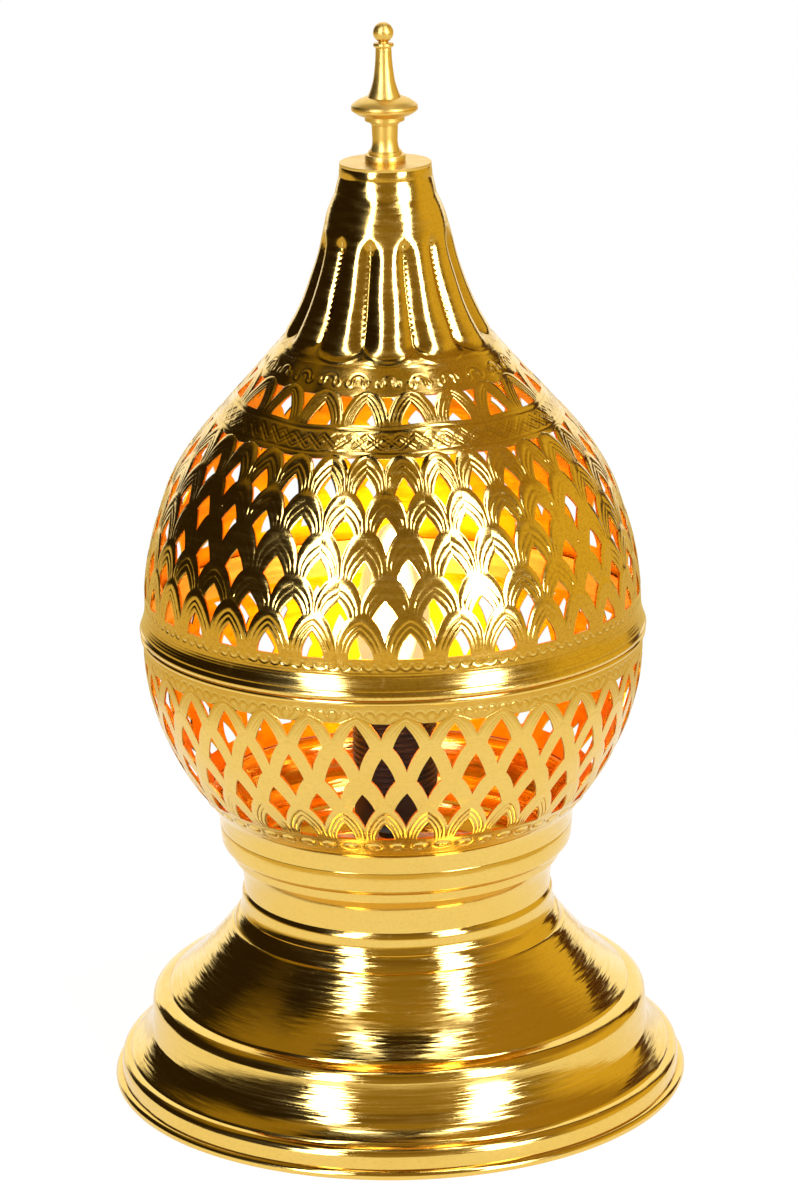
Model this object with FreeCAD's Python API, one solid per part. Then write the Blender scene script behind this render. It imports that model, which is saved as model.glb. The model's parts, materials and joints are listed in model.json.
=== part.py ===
import FreeCAD, Part
import math
import os

# Moroccan brass lantern, in millimetres. The origin is on the floor at the centre of the foot, +Z up, front at -Y.
# The dome lifts off the bowl's spigot ring, and the lamp screws out of its lampholder.

# Driving dimensions: sheets
SHEET = 1.0               # brass sheet of the dome and the bowl
NECK_SHEET = 1.4          # the drawn neck of the dome
FOOT_SHEET = 1.2          # heavier spun sheet of the foot, collar and sleeve

# Driving dimensions: dome and bowl
COLUMNS = 33              # openings around the dome and around the bowl
TOP_ARCHES = 20           # arched openings around the shoulder
FLUTES = 12
FRONT = -90.0             # direction of the front, in degrees from +X
DOME_BOTTOM_Z = 223.55    # lower edge of the dome's rim
BOWL_TOP_Z = 223.2        # top of the bowl's rolled rim, 0.35 under the dome
RIM_ROLL_R = 1.4
FLUTE_TOP_Z = 416.0
FLUTE_BOTTOM_Z = 361.0
FLUTE_TOP_R = 28.2
FLUTE_BOTTOM_R = 49.8
CREASE_DEPTH = 0.089      # depth of the creases between flutes, as a share of the radius
NECK_BEAD = 0.7
COLLAR_TOP_Z = 141.8

# Driving dimensions: cap and finial
CAP_R = 21.1
CAP_TOP_Z = 443.6
CAP_THICK = 1.3
STUD_R = 2.0              # M4 stud of the finial
STUD_HOLE_R = 2.1
PLINTH_TOP_Z = 449.0
COLUMN_TOP_Z = 464.8
DISC_TOP_Z = 473.4
STUD_TOP_Z = 483.0
SPIRE_NECK_R = 2.2        # under the finial's ball
BALL_R = 4.65
TOTAL_HEIGHT = 507.4
WASHER_H = 1.0
FINIAL_NUT_H = 3.2
FINIAL_NUT_FLATS = 7.0

# Driving dimensions: collar, foot and cable gland
COLLAR_FLANGE_Z = 112.6   # underside of the collar's inner flange
SLEEVE_BOTTOM_Z = 95.6
FOOT_R = 137.5
FLANGE_IN_R = 127.0       # inner edge of the flange the lantern stands on
GLAND_Z = 32.5
GLAND_BORE_R = 3.5
GLAND_HOLE_R = 5.2

# Driving dimensions: bridge, nipple and lampholder
BRIDGE_L = 152.0
BRIDGE_W = 18.0
BRIDGE_THICK = 2.0
BRIDGE_SCREW_X = 70.0
BRIDGE_SCREW_Y = 5.0
BRIDGE_SCREW_R = 1.5      # M3 screws
SCREW_HOLE_R = 1.6
SCREW_HEAD_R = 2.9
SCREW_HEAD_H = 1.9
NIPPLE_R = 4.9            # M10 lamp nipple
NIPPLE_BORE_R = 3.6
NIPPLE_CLEARANCE = 0.1
LOCK_NUT_H = 3.0
LOCK_NUT_FLATS = 14.0
NIPPLE_WASHER_R = 9.5
HOLDER_R = 20.0           # standard 40 mm outer thread of an E27 lampholder
THREAD_ROOT_R = 19.1
HOLDER_THREAD_PITCH = 2.9
HOLDER_THREAD_TURNS = 12
HOLDER_THREAD_Z = 144.4
HOLDER_JOINT_Z = 142.4    # where the lampholder's cap meets its skirt
HOLDER_TOP_Z = 195.0
INSERT_TOP_Z = 167.2
SHELL_BORE_R = 13.5
CONTACT_GAP = 0.35
TERMINAL_X = 6.0

# Driving dimensions: candle lamp
LAMP_THREAD_R = 13.1      # E27 lamp cap
LAMP_THREAD_ROOT_R = 12.1
LAMP_THREAD_PITCH = 3.629
LAMP_THREAD_TURNS = 5
LAMP_CAP_Z = 173.4
LAMP_CONTACT_Z = 169.3
GLASS_R = 17.5            # 35 mm candle
GLASS_THICK = 0.8
GLASS_TIP_Z = 273.2
STEM_TOP_Z = 211.0
FILAMENTS = 4
FILAMENT_LOW_Z = 215.0
FILAMENT_HIGH_Z = 255.0
FILAMENT_FOOT_R = 6.4
FILAMENT_HEAD_R = 3.0
FILAMENT_W = 0.9
FILAMENT_D = 1.5
LEAD_WIRE_R = 0.25
POST_R = 0.35

# Positions that follow from them
PITCH = 360.0 / COLUMNS
TOP_PITCH = 360.0 / TOP_ARCHES
FLUTE_PITCH = 360.0 / FLUTES
BRIDGE_Z = COLLAR_FLANGE_Z + FOOT_SHEET
BRIDGE_TOP_Z = BRIDGE_Z + BRIDGE_THICK
UPPER_NUT_Z = BRIDGE_TOP_Z + WASHER_H
LOWER_NUT_Z = BRIDGE_Z - WASHER_H - LOCK_NUT_H
HOLDER_BOTTOM_Z = UPPER_NUT_Z + LOCK_NUT_H
CAP_BOTTOM_Z = CAP_TOP_Z - CAP_THICK
FINIAL_NUT_Z = CAP_BOTTOM_Z - WASHER_H - FINIAL_NUT_H


def vec(x, y, z):
    return FreeCAD.Vector(x, y, z)


ORIGIN = vec(0, 0, 0)
UP = vec(0, 0, 1)


def edge_through(points):
    """A line through two (r, z) points, a smooth curve through more."""
    vectors = [vec(r, 0, z) for r, z in points]
    if len(vectors) == 2:
        return Part.makeLine(vectors[0], vectors[1])
    curve = Part.BSplineCurve()
    curve.interpolate(vectors)
    return curve.toShape()


def solid_of_turn(edges):
    """Turn a closed outline about Z."""
    face = Part.Face(Part.Wire(edges))
    solid = face.revolve(ORIGIN, UP, 360)
    if solid.ShapeType != "Solid":
        solid = Part.Solid(Part.Shell(solid.Faces))
    if solid.Volume < 0:
        solid.reverse()
    return solid


def turned(*runs):
    """Turn an outline of (r, z) points about Z. Each run goes on from the end of the last one: with one more
    point it is a straight line, with several a smooth curve. A straight line closes the outline."""
    edges = []
    last = runs[0][0]
    for number, run in enumerate(runs):
        points = run if number == 0 else [last] + run
        edges.append(edge_through(points))
        last = points[-1]
    if last != runs[0][0]:
        edges.append(edge_through([last, runs[0][0]]))
    return solid_of_turn(edges)


def turned_polygon(points):
    """Turn a closed polygon of (r, z) points about Z."""
    return solid_of_turn([edge_through([points[i - 1], points[i]]) for i in range(len(points))])


def turned_sheet(outer, inner):
    """Turn a sheet about Z between an outer and an inner curve that run the same way."""
    return turned(outer, [inner[-1]], inner[:-1][::-1])


def ring(r_in, r_out, z_low, z_high):
    tube = Part.makeCylinder(r_out, z_high - z_low, vec(0, 0, z_low))
    return tube.cut(Part.makeCylinder(r_in, z_high - z_low + 2, vec(0, 0, z_low - 1)))


def inside_of(points, thickness):
    """The inner line of a sheet whose outer line runs downward through the points."""
    inner = []
    for i, (r, z) in enumerate(points):
        before = points[max(i - 1, 0)]
        after = points[min(i + 1, len(points) - 1)]
        dr = after[0] - before[0]
        dz = after[1] - before[1]
        length = math.hypot(dr, dz)
        inner.append((r + dz / length * thickness, z - dr / length * thickness))
    return inner


def hexagon(across_flats, z_low, height, bore_r):
    corner = across_flats / math.sqrt(3)
    points = []
    for i in range(7):
        angle = math.radians(60 * i)
        points.append(vec(corner * math.cos(angle), corner * math.sin(angle), z_low))
    block = Part.Face(Part.makePolygon(points)).extrude(vec(0, 0, height))
    return block.cut(Part.makeCylinder(bore_r, height + 2, vec(0, 0, z_low - 1)))


def opening_tool(curve, distance, angle_deg, corners):
    """A prism through the sheet. Corners are (across, down the sheet) from a point on the profile curve."""
    centre = curve.valueAt(curve.getParameterByLength(distance))
    down = curve.tangentAt(curve.getParameterByLength(distance))
    down.normalize()
    if down.z > 0:
        down = down * -1
    outward = vec(-down.z, 0, down.x)
    across = vec(0, 1, 0)
    points = [centre + outward * 3 + across * a + down * d for a, d in corners]
    points.append(points[0])
    tool = Part.Face(Part.makePolygon(points)).extrude(outward * -6.5)
    tool.rotate(ORIGIN, UP, angle_deg)
    return tool


def row_of_openings(curve, distance, count, phase_deg, corners):
    return [opening_tool(curve, distance, FRONT + phase_deg + 360.0 * i / count, corners) for i in range(count)]


def diamond(width, up, down):
    return [(0, -up), (width / 2, 0), (0, down), (-width / 2, 0)]


def hanging_triangle(width, height):
    return [(-width / 2, 0), (width / 2, 0), (0, height)]


def pointed_arch(width, height):
    shoulder_w = 0.42 * width
    shoulder_h = 0.52 * height
    return [(-width / 2, 0), (-shoulder_w, -shoulder_h), (0, -height), (shoulder_w, -shoulder_h), (width / 2, 0)]


def staggered_diamonds(curve, rows):
    """Rows of diamonds (distance down the sheet, width, up, down), every other row half a column aside."""
    tools = []
    for number, (distance, width, up, down) in enumerate(rows):
        aside = 0.5 * PITCH * ((number + 1) % 2)
        tools += row_of_openings(curve, distance, COLUMNS, aside, diamond(width, up, down))
    return tools


def make_globe():
    """Pierced shoulder and globe of the dome."""
    outer = [(FLUTE_BOTTOM_R, FLUTE_BOTTOM_Z), (59.0, 350.2), (72.2, 335.8), (86.0, 319.9), (99.6, 301.0),
             (108.4, 280.3), (113.9, 260.0), (116.1, 241.0), (117.0, 231.0), (118.9, DOME_BOTTOM_Z)]
    inner = inside_of(outer, SHEET)
    inner[0] = (FLUTE_BOTTOM_R - NECK_SHEET, FLUTE_BOTTOM_Z)
    inner[-1] = (outer[-1][0] - SHEET, DOME_BOTTOM_Z)
    curve = edge_through(outer)
    tools = row_of_openings(curve, 34.0, TOP_ARCHES, 0.5 * TOP_PITCH, pointed_arch(10.4, 11.6))
    tools += row_of_openings(curve, 18.0, TOP_ARCHES, 0.0, hanging_triangle(8.6, 10.6))
    tools += row_of_openings(curve, 47.5, COLUMNS, 0.0, hanging_triangle(8.0, 7.2))
    tools += staggered_diamonds(curve, [(64.6, 10.0, 8.0, 9.0), (83.6, 10.4, 8.6, 9.8), (103.4, 10.6, 9.2, 9.6),
                                        (120.5, 10.6, 8.0, 10.4)])
    tools += row_of_openings(curve, 139.2, COLUMNS, 0.5 * PITCH, pointed_arch(9.0, 10.6))
    return turned_sheet(outer, inner).cut(Part.makeCompound(tools))


def fluted_wire(z, radius, depth, wall):
    """Twelve lobes as arcs that meet in creases. Depth is a share of the radius, wall is taken off inward."""
    crown_r = radius - wall
    crease_r = radius * (1 - depth) - wall
    arcs = []
    for i in range(FLUTES):
        middle = FRONT + FLUTE_PITCH * i
        ends = []
        for turn in (middle - FLUTE_PITCH / 2, middle + FLUTE_PITCH / 2):
            angle = math.radians(turn)
            ends.append(vec(crease_r * math.cos(angle), crease_r * math.sin(angle), z))
        angle = math.radians(middle)
        crown = vec(crown_r * math.cos(angle), crown_r * math.sin(angle), z)
        arcs.append(Part.Arc(ends[0], crown, ends[1]).toShape())
    return Part.Wire(arcs)


def make_flutes():
    """Fluted part of the neck, from sections (z, radius, share of the full crease depth)."""
    sections = [(FLUTE_TOP_Z, FLUTE_TOP_R, 0.0), (412.0, 29.3, 0.7), (403.0, 31.4, 1.0), (391.0, 35.2, 1.0),
                (380.0, 39.4, 1.0), (370.0, 44.5, 0.9), (365.0, 47.4, 0.55), (FLUTE_BOTTOM_Z, FLUTE_BOTTOM_R, 0.0)]
    lofts = []
    for wall in (0.0, NECK_SHEET):
        wires = [fluted_wire(z, r, share * CREASE_DEPTH, wall) for z, r, share in sections]
        lofts.append(Part.makeLoft(wires, True, False))
    return lofts[0].cut(lofts[1])


def make_neck():
    """Beaded throat between the flutes and the cap."""
    outer = [(CAP_R - 0.1, CAP_BOTTOM_Z), (21.4, 437.5), (22.3, 432.5), (24.0, 427.5), (26.0, 422.2),
             (FLUTE_TOP_R, FLUTE_TOP_Z)]
    inner = [(r - NECK_SHEET, z) for r, z in outer]
    neck = turned_sheet(outer, inner)
    for bead_r, bead_z in [(22.7, 430.0), (26.3, 420.0)]:
        neck = neck.fuse(Part.makeTorus(bead_r, NECK_BEAD, vec(0, 0, bead_z)))
    return neck


def make_upper_dome():
    return make_globe().fuse([make_flutes(), make_neck()])


def make_finial_plinth():
    return turned_polygon([
        (STUD_HOLE_R, CAP_TOP_Z), (9.35, CAP_TOP_Z), (9.35, 444.4), (9.05, 444.6), (9.35, 444.8), (9.35, 446.6),
        (8.8, 447.2), (7.6, 447.3), (7.6, 448.7), (7.3, PLINTH_TOP_Z), (STUD_HOLE_R, PLINTH_TOP_Z)])


def make_finial_column():
    return turned(
        [(STUD_HOLE_R, PLINTH_TOP_Z), (6.8, PLINTH_TOP_Z)],
        [(6.0, 451.4), (5.85, 456.0), (6.0, 460.8)],
        [(6.6, 461.2)],
        [(6.6, 462.4)],
        [(9.1, 462.6)],
        [(9.1, COLUMN_TOP_Z)],
        [(STUD_HOLE_R, COLUMN_TOP_Z)])


def make_finial_disc():
    """Grooved disc with a domed top."""
    return turned(
        [(STUD_HOLE_R, COLUMN_TOP_Z), (10.0, COLUMN_TOP_Z)],
        [(14.7, 467.2)],
        [(15.2, 467.7)],
        [(15.2, 468.5)],
        [(14.9, 468.7)],
        [(15.2, 468.9)],
        [(15.2, 469.5)],
        [(14.6, 470.2)],
        [(12.0, 472.0), (8.6, DISC_TOP_Z)],
        [(STUD_HOLE_R, DISC_TOP_Z)])


def make_finial_spire():
    """Tapered spire with a ring and a ball, on the top of the stud."""
    ball_z = TOTAL_HEIGHT - BALL_R
    ball_foot_z = ball_z - math.sqrt(BALL_R ** 2 - SPIRE_NECK_R ** 2)
    side = math.radians(20)
    ball_side = vec(BALL_R * math.cos(side), 0, ball_z + BALL_R * math.sin(side))
    runs = [
        [(0, STUD_TOP_Z), (STUD_HOLE_R, STUD_TOP_Z)],
        [(STUD_HOLE_R, STUD_TOP_Z), (STUD_HOLE_R, DISC_TOP_Z)],
        [(STUD_HOLE_R, DISC_TOP_Z), (7.6, DISC_TOP_Z)],
        [(7.6, DISC_TOP_Z), (6.35, 476.4), (5.0, 480.9), (4.3, 485.5), (3.85, 490.1), (3.6, 495.9)],
        [(3.6, 495.9), (4.3, 496.2)],
        [(4.3, 496.2), (4.75, 497.1), (4.3, 498.0)],
        [(4.3, 498.0), (SPIRE_NECK_R, 498.2)],
        [(SPIRE_NECK_R, 498.2), (SPIRE_NECK_R, ball_foot_z)]]
    edges = [edge_through(run) for run in runs]
    top = vec(0, 0, TOTAL_HEIGHT)
    edges.append(Part.Arc(vec(SPIRE_NECK_R, 0, ball_foot_z), ball_side, top).toShape())
    edges.append(Part.makeLine(top, vec(0, 0, STUD_TOP_Z)))
    return solid_of_turn(edges)


def make_finial_stud():
    stud_bottom_z = FINIAL_NUT_Z - 2.0
    return Part.makeCylinder(STUD_R, STUD_TOP_Z - stud_bottom_z, vec(0, 0, stud_bottom_z))


def make_lower_bowl():
    """Pierced bowl with a rolled rim."""
    outer = [(117.4, 220.6), (117.1, 212.0), (116.0, 200.0), (113.3, 188.0), (109.2, 176.0), (104.2, 165.5),
             (98.4, 155.0), (93.2, 147.4), (89.0, COLLAR_TOP_Z)]
    inner = inside_of(outer, SHEET)
    inner[0] = (outer[0][0] - SHEET, outer[0][1])
    inner[-1] = (outer[-1][0] - 1.2 * SHEET, COLLAR_TOP_Z)
    curve = edge_through(outer)
    tools = row_of_openings(curve, 7.0, COLUMNS, 0.0, hanging_triangle(8.0, 9.4))
    tools += staggered_diamonds(curve, [(20.6, 10.6, 9.4, 11.2), (38.6, 10.2, 10.4, 10.6), (55.8, 9.6, 9.4, 9.8)])
    tools += row_of_openings(curve, 77.0, COLUMNS, 0.0, pointed_arch(8.4, 10.6))
    sheet = turned_sheet(outer, inner).cut(Part.makeCompound(tools))
    roll = Part.makeTorus(117.2, RIM_ROLL_R, vec(0, 0, BOWL_TOP_Z - RIM_ROLL_R))
    return sheet.fuse(roll)


def make_spigot_ring():
    """Ring inside the bowl's mouth, which the dome drops over."""
    return turned_polygon([
        (113.2, 215.8), (115.9, 215.8), (115.9, 219.4), (114.4, 220.6), (114.4, 231.6), (113.9, 232.8),
        (113.2, 232.8)])


def make_collar():
    """Collar under the bowl. Its inner flange carries the bridge and sits on the sleeve."""
    flange_top_z = COLLAR_FLANGE_Z + FOOT_SHEET
    collar = turned(
        [(89.0, COLLAR_TOP_Z), (86.9, 139.4), (85.2, 136.0), (84.2, 131.8)],
        [(83.4, 121.6)],
        [(82.8, 119.2), (81.4, 117.6)],
        [(79.7, 117.0)],
        [(79.4, 115.4)],
        [(78.4, COLLAR_FLANGE_Z)],
        [(66.0, COLLAR_FLANGE_Z)],
        [(66.0, flange_top_z)],
        [(77.6, flange_top_z)],
        [(78.4, 118.2)],
        [(82.1, 121.8)],
        [(82.9, 131.8)],
        [(83.9, 136.4), (85.4, 139.8), (87.8, COLLAR_TOP_Z)])
    for x, y in bridge_screw_places():
        collar = collar.cut(Part.makeCylinder(SCREW_HOLE_R, 12, vec(x, y, COLLAR_FLANGE_Z - 4)))
    return collar


def make_neck_sleeve():
    outer = [(76.8, COLLAR_FLANGE_Z), (74.8, 108.0), (73.5, 102.0), (73.1, SLEEVE_BOTTOM_Z)]
    inner = [(r - FOOT_SHEET, z) for r, z in outer]
    return turned_sheet(outer, inner)


def make_foot():
    """Spun foot with beads and a flat flange turned in at the floor."""
    foot = turned(
        [(68.0, SLEEVE_BOTTOM_Z), (73.2, SLEEVE_BOTTOM_Z)],
        [(73.9, 94.4), (74.3, 89.6), (75.2, 85.4)],
        [(74.9, 84.8)],
        [(76.3, 83.0), (77.7, 80.6), (78.4, 78.9)],
        [(78.6, 78.2)],
        [(79.4, 77.8)],
        [(85.0, 71.0), (91.0, 64.0), (98.0, 56.8), (105.0, 50.6), (109.8, 46.8)],
        [(110.2, 45.8)],
        [(113.0, 45.3), (115.8, 43.9), (117.6, 41.8), (118.3, 39.6)],
        [(118.9, 25.6)],
        [(121.4, 22.0), (124.6, 18.6), (129.3, 15.2)],
        [(129.8, 14.2)],
        [(131.9, 13.4), (133.5, 11.9), (134.1, 10.0)],
        [(134.5, 4.5)],
        [(136.4, 3.9), (FOOT_R, 2.2), (136.9, 0.4)],
        [(136.2, 0.0)],
        [(FLANGE_IN_R, 0.0)],
        [(FLANGE_IN_R, FOOT_SHEET)],
        [(133.2, FOOT_SHEET)],
        [(132.8, 9.9)],
        [(128.8, 13.6)],
        [(123.6, 17.6)],
        [(117.7, 25.2)],
        [(117.1, 39.2)],
        [(115.2, 42.6), (109.2, 45.6)],
        [(104.2, 49.6), (97.1, 55.8), (90.1, 63.1), (84.1, 70.1), (77.2, 78.4)],
        [(73.2, 85.6)],
        [(72.6, SLEEVE_BOTTOM_Z - FOOT_SHEET)],
        [(68.0, SLEEVE_BOTTOM_Z - FOOT_SHEET)])
    return foot.cut(Part.makeCylinder(GLAND_HOLE_R, 30, vec(0, 100, GLAND_Z), vec(0, 1, 0)))


def make_cable_gland():
    """Gland in the rear wall of the foot: a flange inside, a collar outside and the cable's bore."""
    gland = turned_polygon([
        (GLAND_BORE_R, 115.2), (6.9, 115.2), (6.9, 116.6), (GLAND_HOLE_R - 0.1, 116.6), (GLAND_HOLE_R - 0.1, 119.3),
        (7.6, 119.3), (7.0, 121.3), (GLAND_BORE_R, 121.3)])
    gland.rotate(ORIGIN, vec(1, 0, 0), -90)
    gland.translate(vec(0, 0, GLAND_Z))
    return gland


def bridge_screw_places():
    return [(sx * BRIDGE_SCREW_X, sy * BRIDGE_SCREW_Y) for sx in (-1, 1) for sy in (-1, 1)]


def make_holder_bridge():
    """Flat bar across the collar's flange that carries the nipple."""
    bridge = Part.makeBox(BRIDGE_L, BRIDGE_W, BRIDGE_THICK, vec(-BRIDGE_L / 2, -BRIDGE_W / 2, BRIDGE_Z))
    bridge = bridge.cut(Part.makeCylinder(NIPPLE_R + NIPPLE_CLEARANCE, 10, vec(0, 0, BRIDGE_Z - 2)))
    for x, y in bridge_screw_places():
        bridge = bridge.cut(Part.makeCylinder(SCREW_HOLE_R, 12, vec(x, y, COLLAR_FLANGE_Z - 4)))
    return bridge


def make_bridge_screws():
    """Slotted screws through the bridge and the collar's flange."""
    screws = []
    for x, y in bridge_screw_places():
        shank = Part.makeCylinder(BRIDGE_SCREW_R, 7.6, vec(x, y, BRIDGE_TOP_Z - 7.0))
        head = Part.makeCylinder(SCREW_HEAD_R, SCREW_HEAD_H, vec(x, y, BRIDGE_TOP_Z))
        slot = Part.makeBox(6.2, 0.8, 1.0, vec(x - 3.1, y - 0.4, BRIDGE_TOP_Z + 1.1))
        screws.append(head.fuse(shank).removeSplitter().cut(slot))
    return Part.makeCompound(screws)


def make_nipple():
    return ring(NIPPLE_BORE_R, NIPPLE_R, LOWER_NUT_Z - 3.0, HOLDER_BOTTOM_Z + 7.0)


def make_nipple_nuts():
    upper = hexagon(LOCK_NUT_FLATS, UPPER_NUT_Z, LOCK_NUT_H, NIPPLE_R)
    lower = hexagon(LOCK_NUT_FLATS, LOWER_NUT_Z, LOCK_NUT_H, NIPPLE_R)
    return Part.makeCompound([upper, lower])


def make_nipple_washers():
    bore_r = NIPPLE_R + NIPPLE_CLEARANCE
    upper = ring(bore_r, NIPPLE_WASHER_R, BRIDGE_TOP_Z, BRIDGE_TOP_Z + WASHER_H)
    lower = ring(bore_r, NIPPLE_WASHER_R, BRIDGE_Z - WASHER_H, BRIDGE_Z)
    return Part.makeCompound([upper, lower])


def make_holder_cap():
    """Domed cap of the lampholder, on the nipple."""
    bore_r = NIPPLE_R + NIPPLE_CLEARANCE
    return turned(
        [(bore_r, HOLDER_BOTTOM_Z), (8.6, HOLDER_BOTTOM_Z)],
        [(8.8, 122.4)],
        [(15.4, 124.4), (19.0, 128.6), (19.6, 133.0)],
        [(19.6, HOLDER_JOINT_Z)],
        [(16.2, HOLDER_JOINT_Z)],
        [(16.2, 131.0)],
        [(8.6, 126.8)],
        [(bore_r, 126.8)])


def make_holder_skirt():
    """Skirt of the lampholder with the ridges of its outer thread and a lip at the mouth."""
    points = [(17.7, HOLDER_JOINT_Z), (HOLDER_R - 0.2, HOLDER_JOINT_Z), (HOLDER_R - 0.2, HOLDER_THREAD_Z - 0.6),
              (THREAD_ROOT_R, HOLDER_THREAD_Z)]
    for i in range(HOLDER_THREAD_TURNS):
        z = HOLDER_THREAD_Z + i * HOLDER_THREAD_PITCH
        points += [(THREAD_ROOT_R, z + 0.25), (HOLDER_R, z + 1.2), (HOLDER_R, z + 1.7), (THREAD_ROOT_R, z + 2.65)]
    top_z = HOLDER_THREAD_Z + HOLDER_THREAD_TURNS * HOLDER_THREAD_PITCH
    points += [(THREAD_ROOT_R, top_z + 3.0), (HOLDER_R + 0.6, top_z + 4.5), (HOLDER_R + 0.6, 193.8),
               (HOLDER_R - 0.4, HOLDER_TOP_Z), (15.8, HOLDER_TOP_Z), (15.2, 194.2), (15.2, 146.4), (17.7, 146.4)]
    return turned_polygon(points)


def make_holder_insert():
    """Moulded insert that carries the contacts."""
    insert = turned_polygon([
        (0, 146.0), (10.6, 146.0), (10.6, HOLDER_JOINT_Z), (17.4, HOLDER_JOINT_Z), (17.4, 146.2), (14.9, 146.2),
        (14.9, INSERT_TOP_Z), (0, INSERT_TOP_Z)])
    for sx in (-1, 1):
        insert = insert.cut(Part.makeCylinder(1.5, 6, vec(sx * TERMINAL_X, 0, 145.0)))
    return insert


def make_screw_shell():
    """Shell the lamp's cap screws into."""
    floor_z = INSERT_TOP_Z + 0.6
    return turned_polygon([
        (7.0, INSERT_TOP_Z), (14.2, INSERT_TOP_Z), (14.2, 193.0), (14.9, 193.6), (14.9, 194.0), (13.9, 194.0),
        (SHELL_BORE_R, 193.2), (SHELL_BORE_R, floor_z), (7.0, floor_z)])


def make_holder_contact():
    return turned(
        [(0, INSERT_TOP_Z), (5.2, INSERT_TOP_Z)],
        [(5.2, INSERT_TOP_Z + 0.5)],
        [(3.2, INSERT_TOP_Z + 0.9), (0, LAMP_CONTACT_Z - CONTACT_GAP)])


def make_terminal_screws():
    screws = []
    for sx in (-1, 1):
        shank = Part.makeCylinder(1.5, 7.0, vec(sx * TERMINAL_X, 0, 144.0))
        head = Part.makeCylinder(2.8, 1.8, vec(sx * TERMINAL_X, 0, HOLDER_JOINT_Z))
        screws.append(head.fuse(shank).removeSplitter())
    return Part.makeCompound(screws)


def make_lamp_glass():
    """Candle-shaped bulb, open at its foot in the cap."""
    outer = [(12.3, 194.6), (12.7, 199.4), (15.2, 207.0), (17.1, 215.6), (GLASS_R, 224.0), (16.7, 235.0),
             (13.9, 249.0), (9.4, 262.0), (5.0, 269.6), (0, GLASS_TIP_Z)]
    inner = [(11.5, 194.6), (11.9, 199.4), (14.4, 207.3), (16.3, 215.8), (GLASS_R - GLASS_THICK, 224.0),
             (15.9, 234.8), (13.1, 248.7), (8.7, 261.4), (4.4, 268.6), (0, GLASS_TIP_Z - 1.2)]
    return turned_sheet(outer, inner)


def make_lamp_cap_shell():
    """Threaded metal cap of the lamp."""
    points = [(10.4, LAMP_CAP_Z), (11.6, LAMP_CAP_Z + 0.4)]
    for i in range(LAMP_THREAD_TURNS):
        z = LAMP_CAP_Z + 0.9 + i * LAMP_THREAD_PITCH
        points += [(LAMP_THREAD_ROOT_R, z), (LAMP_THREAD_R, z + 1.5), (LAMP_THREAD_R, z + 2.1)]
        points.append((LAMP_THREAD_ROOT_R, z + LAMP_THREAD_PITCH - 0.03))
    points += [(12.9, 193.6), (13.1, 199.0), (12.8, 199.6), (12.75, 194.4), (11.4, 192.6),
               (11.4, LAMP_CAP_Z + 1.6), (10.4, LAMP_CAP_Z + 0.6)]
    return turned_polygon(points)


def make_lamp_cap_insulator():
    low_z = LAMP_CONTACT_Z + 0.9
    top_z = LAMP_CAP_Z + 2.2
    return turned_polygon([(4.6, low_z), (6.6, low_z), (10.3, LAMP_CAP_Z), (10.3, top_z), (4.6, top_z)])


def make_lamp_contact():
    return turned(
        [(0, LAMP_CONTACT_Z), (2.4, LAMP_CONTACT_Z + 0.1), (4.5, LAMP_CONTACT_Z + 0.8)],
        [(4.5, LAMP_CONTACT_Z + 2.4)],
        [(0, LAMP_CONTACT_Z + 2.4)])


def make_lamp_stem():
    """Glass stem inside the bulb."""
    return turned(
        [(0, 193.0), (11.2, 193.0)],
        [(11.2, 193.8)],
        [(5.6, 196.0), (3.6, 201.0), (3.0, 208.0)],
        [(3.4, 210.0), (0, STEM_TOP_Z)])


def make_filament_strip(turn):
    """One lit strip, leaning in towards the lamp's axis."""
    height = FILAMENT_HIGH_Z - FILAMENT_LOW_Z
    lean = math.degrees(math.atan((FILAMENT_FOOT_R - FILAMENT_HEAD_R) / height))
    strip = Part.makeBox(FILAMENT_W, FILAMENT_D, height, vec(-FILAMENT_W / 2, -FILAMENT_D / 2, 0))
    strip.rotate(ORIGIN, vec(0, 1, 0), -lean)
    strip.translate(vec(FILAMENT_FOOT_R, 0, FILAMENT_LOW_Z))
    strip.rotate(ORIGIN, UP, turn)
    return strip


def make_lead_wire(turn, strip, stem):
    """Wire from the stem to the foot of a strip."""
    start = vec(2.0, 0, STEM_TOP_Z - 3.0)
    end = vec(FILAMENT_FOOT_R, 0, FILAMENT_LOW_Z - 0.05)
    wire = Part.makeCylinder(LEAD_WIRE_R, (end - start).Length, start, end - start)
    wire.rotate(ORIGIN, UP, turn)
    return wire.cut(strip).cut(stem)


def make_filaments(stem):
    """The strips, and the wires with the post and the hub that hold them."""
    strips = []
    wires = []
    for i in range(FILAMENTS):
        turn = 45 + 360.0 / FILAMENTS * i
        strips.append(make_filament_strip(turn))
        wires.append(make_lead_wire(turn, strips[-1], stem))
    post = Part.makeCylinder(POST_R, FILAMENT_HIGH_Z + 1.6 - STEM_TOP_Z, vec(0, 0, STEM_TOP_Z))
    hub = Part.makeCylinder(FILAMENT_HEAD_R + 0.9, 0.6, vec(0, 0, FILAMENT_HIGH_Z + 0.6))
    wires.append(post.fuse(hub).removeSplitter())
    return Part.makeCompound(strips), Part.makeCompound(wires)


lamp_stem = make_lamp_stem()
lamp_filaments, lamp_lead_wires = make_filaments(lamp_stem)

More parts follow.
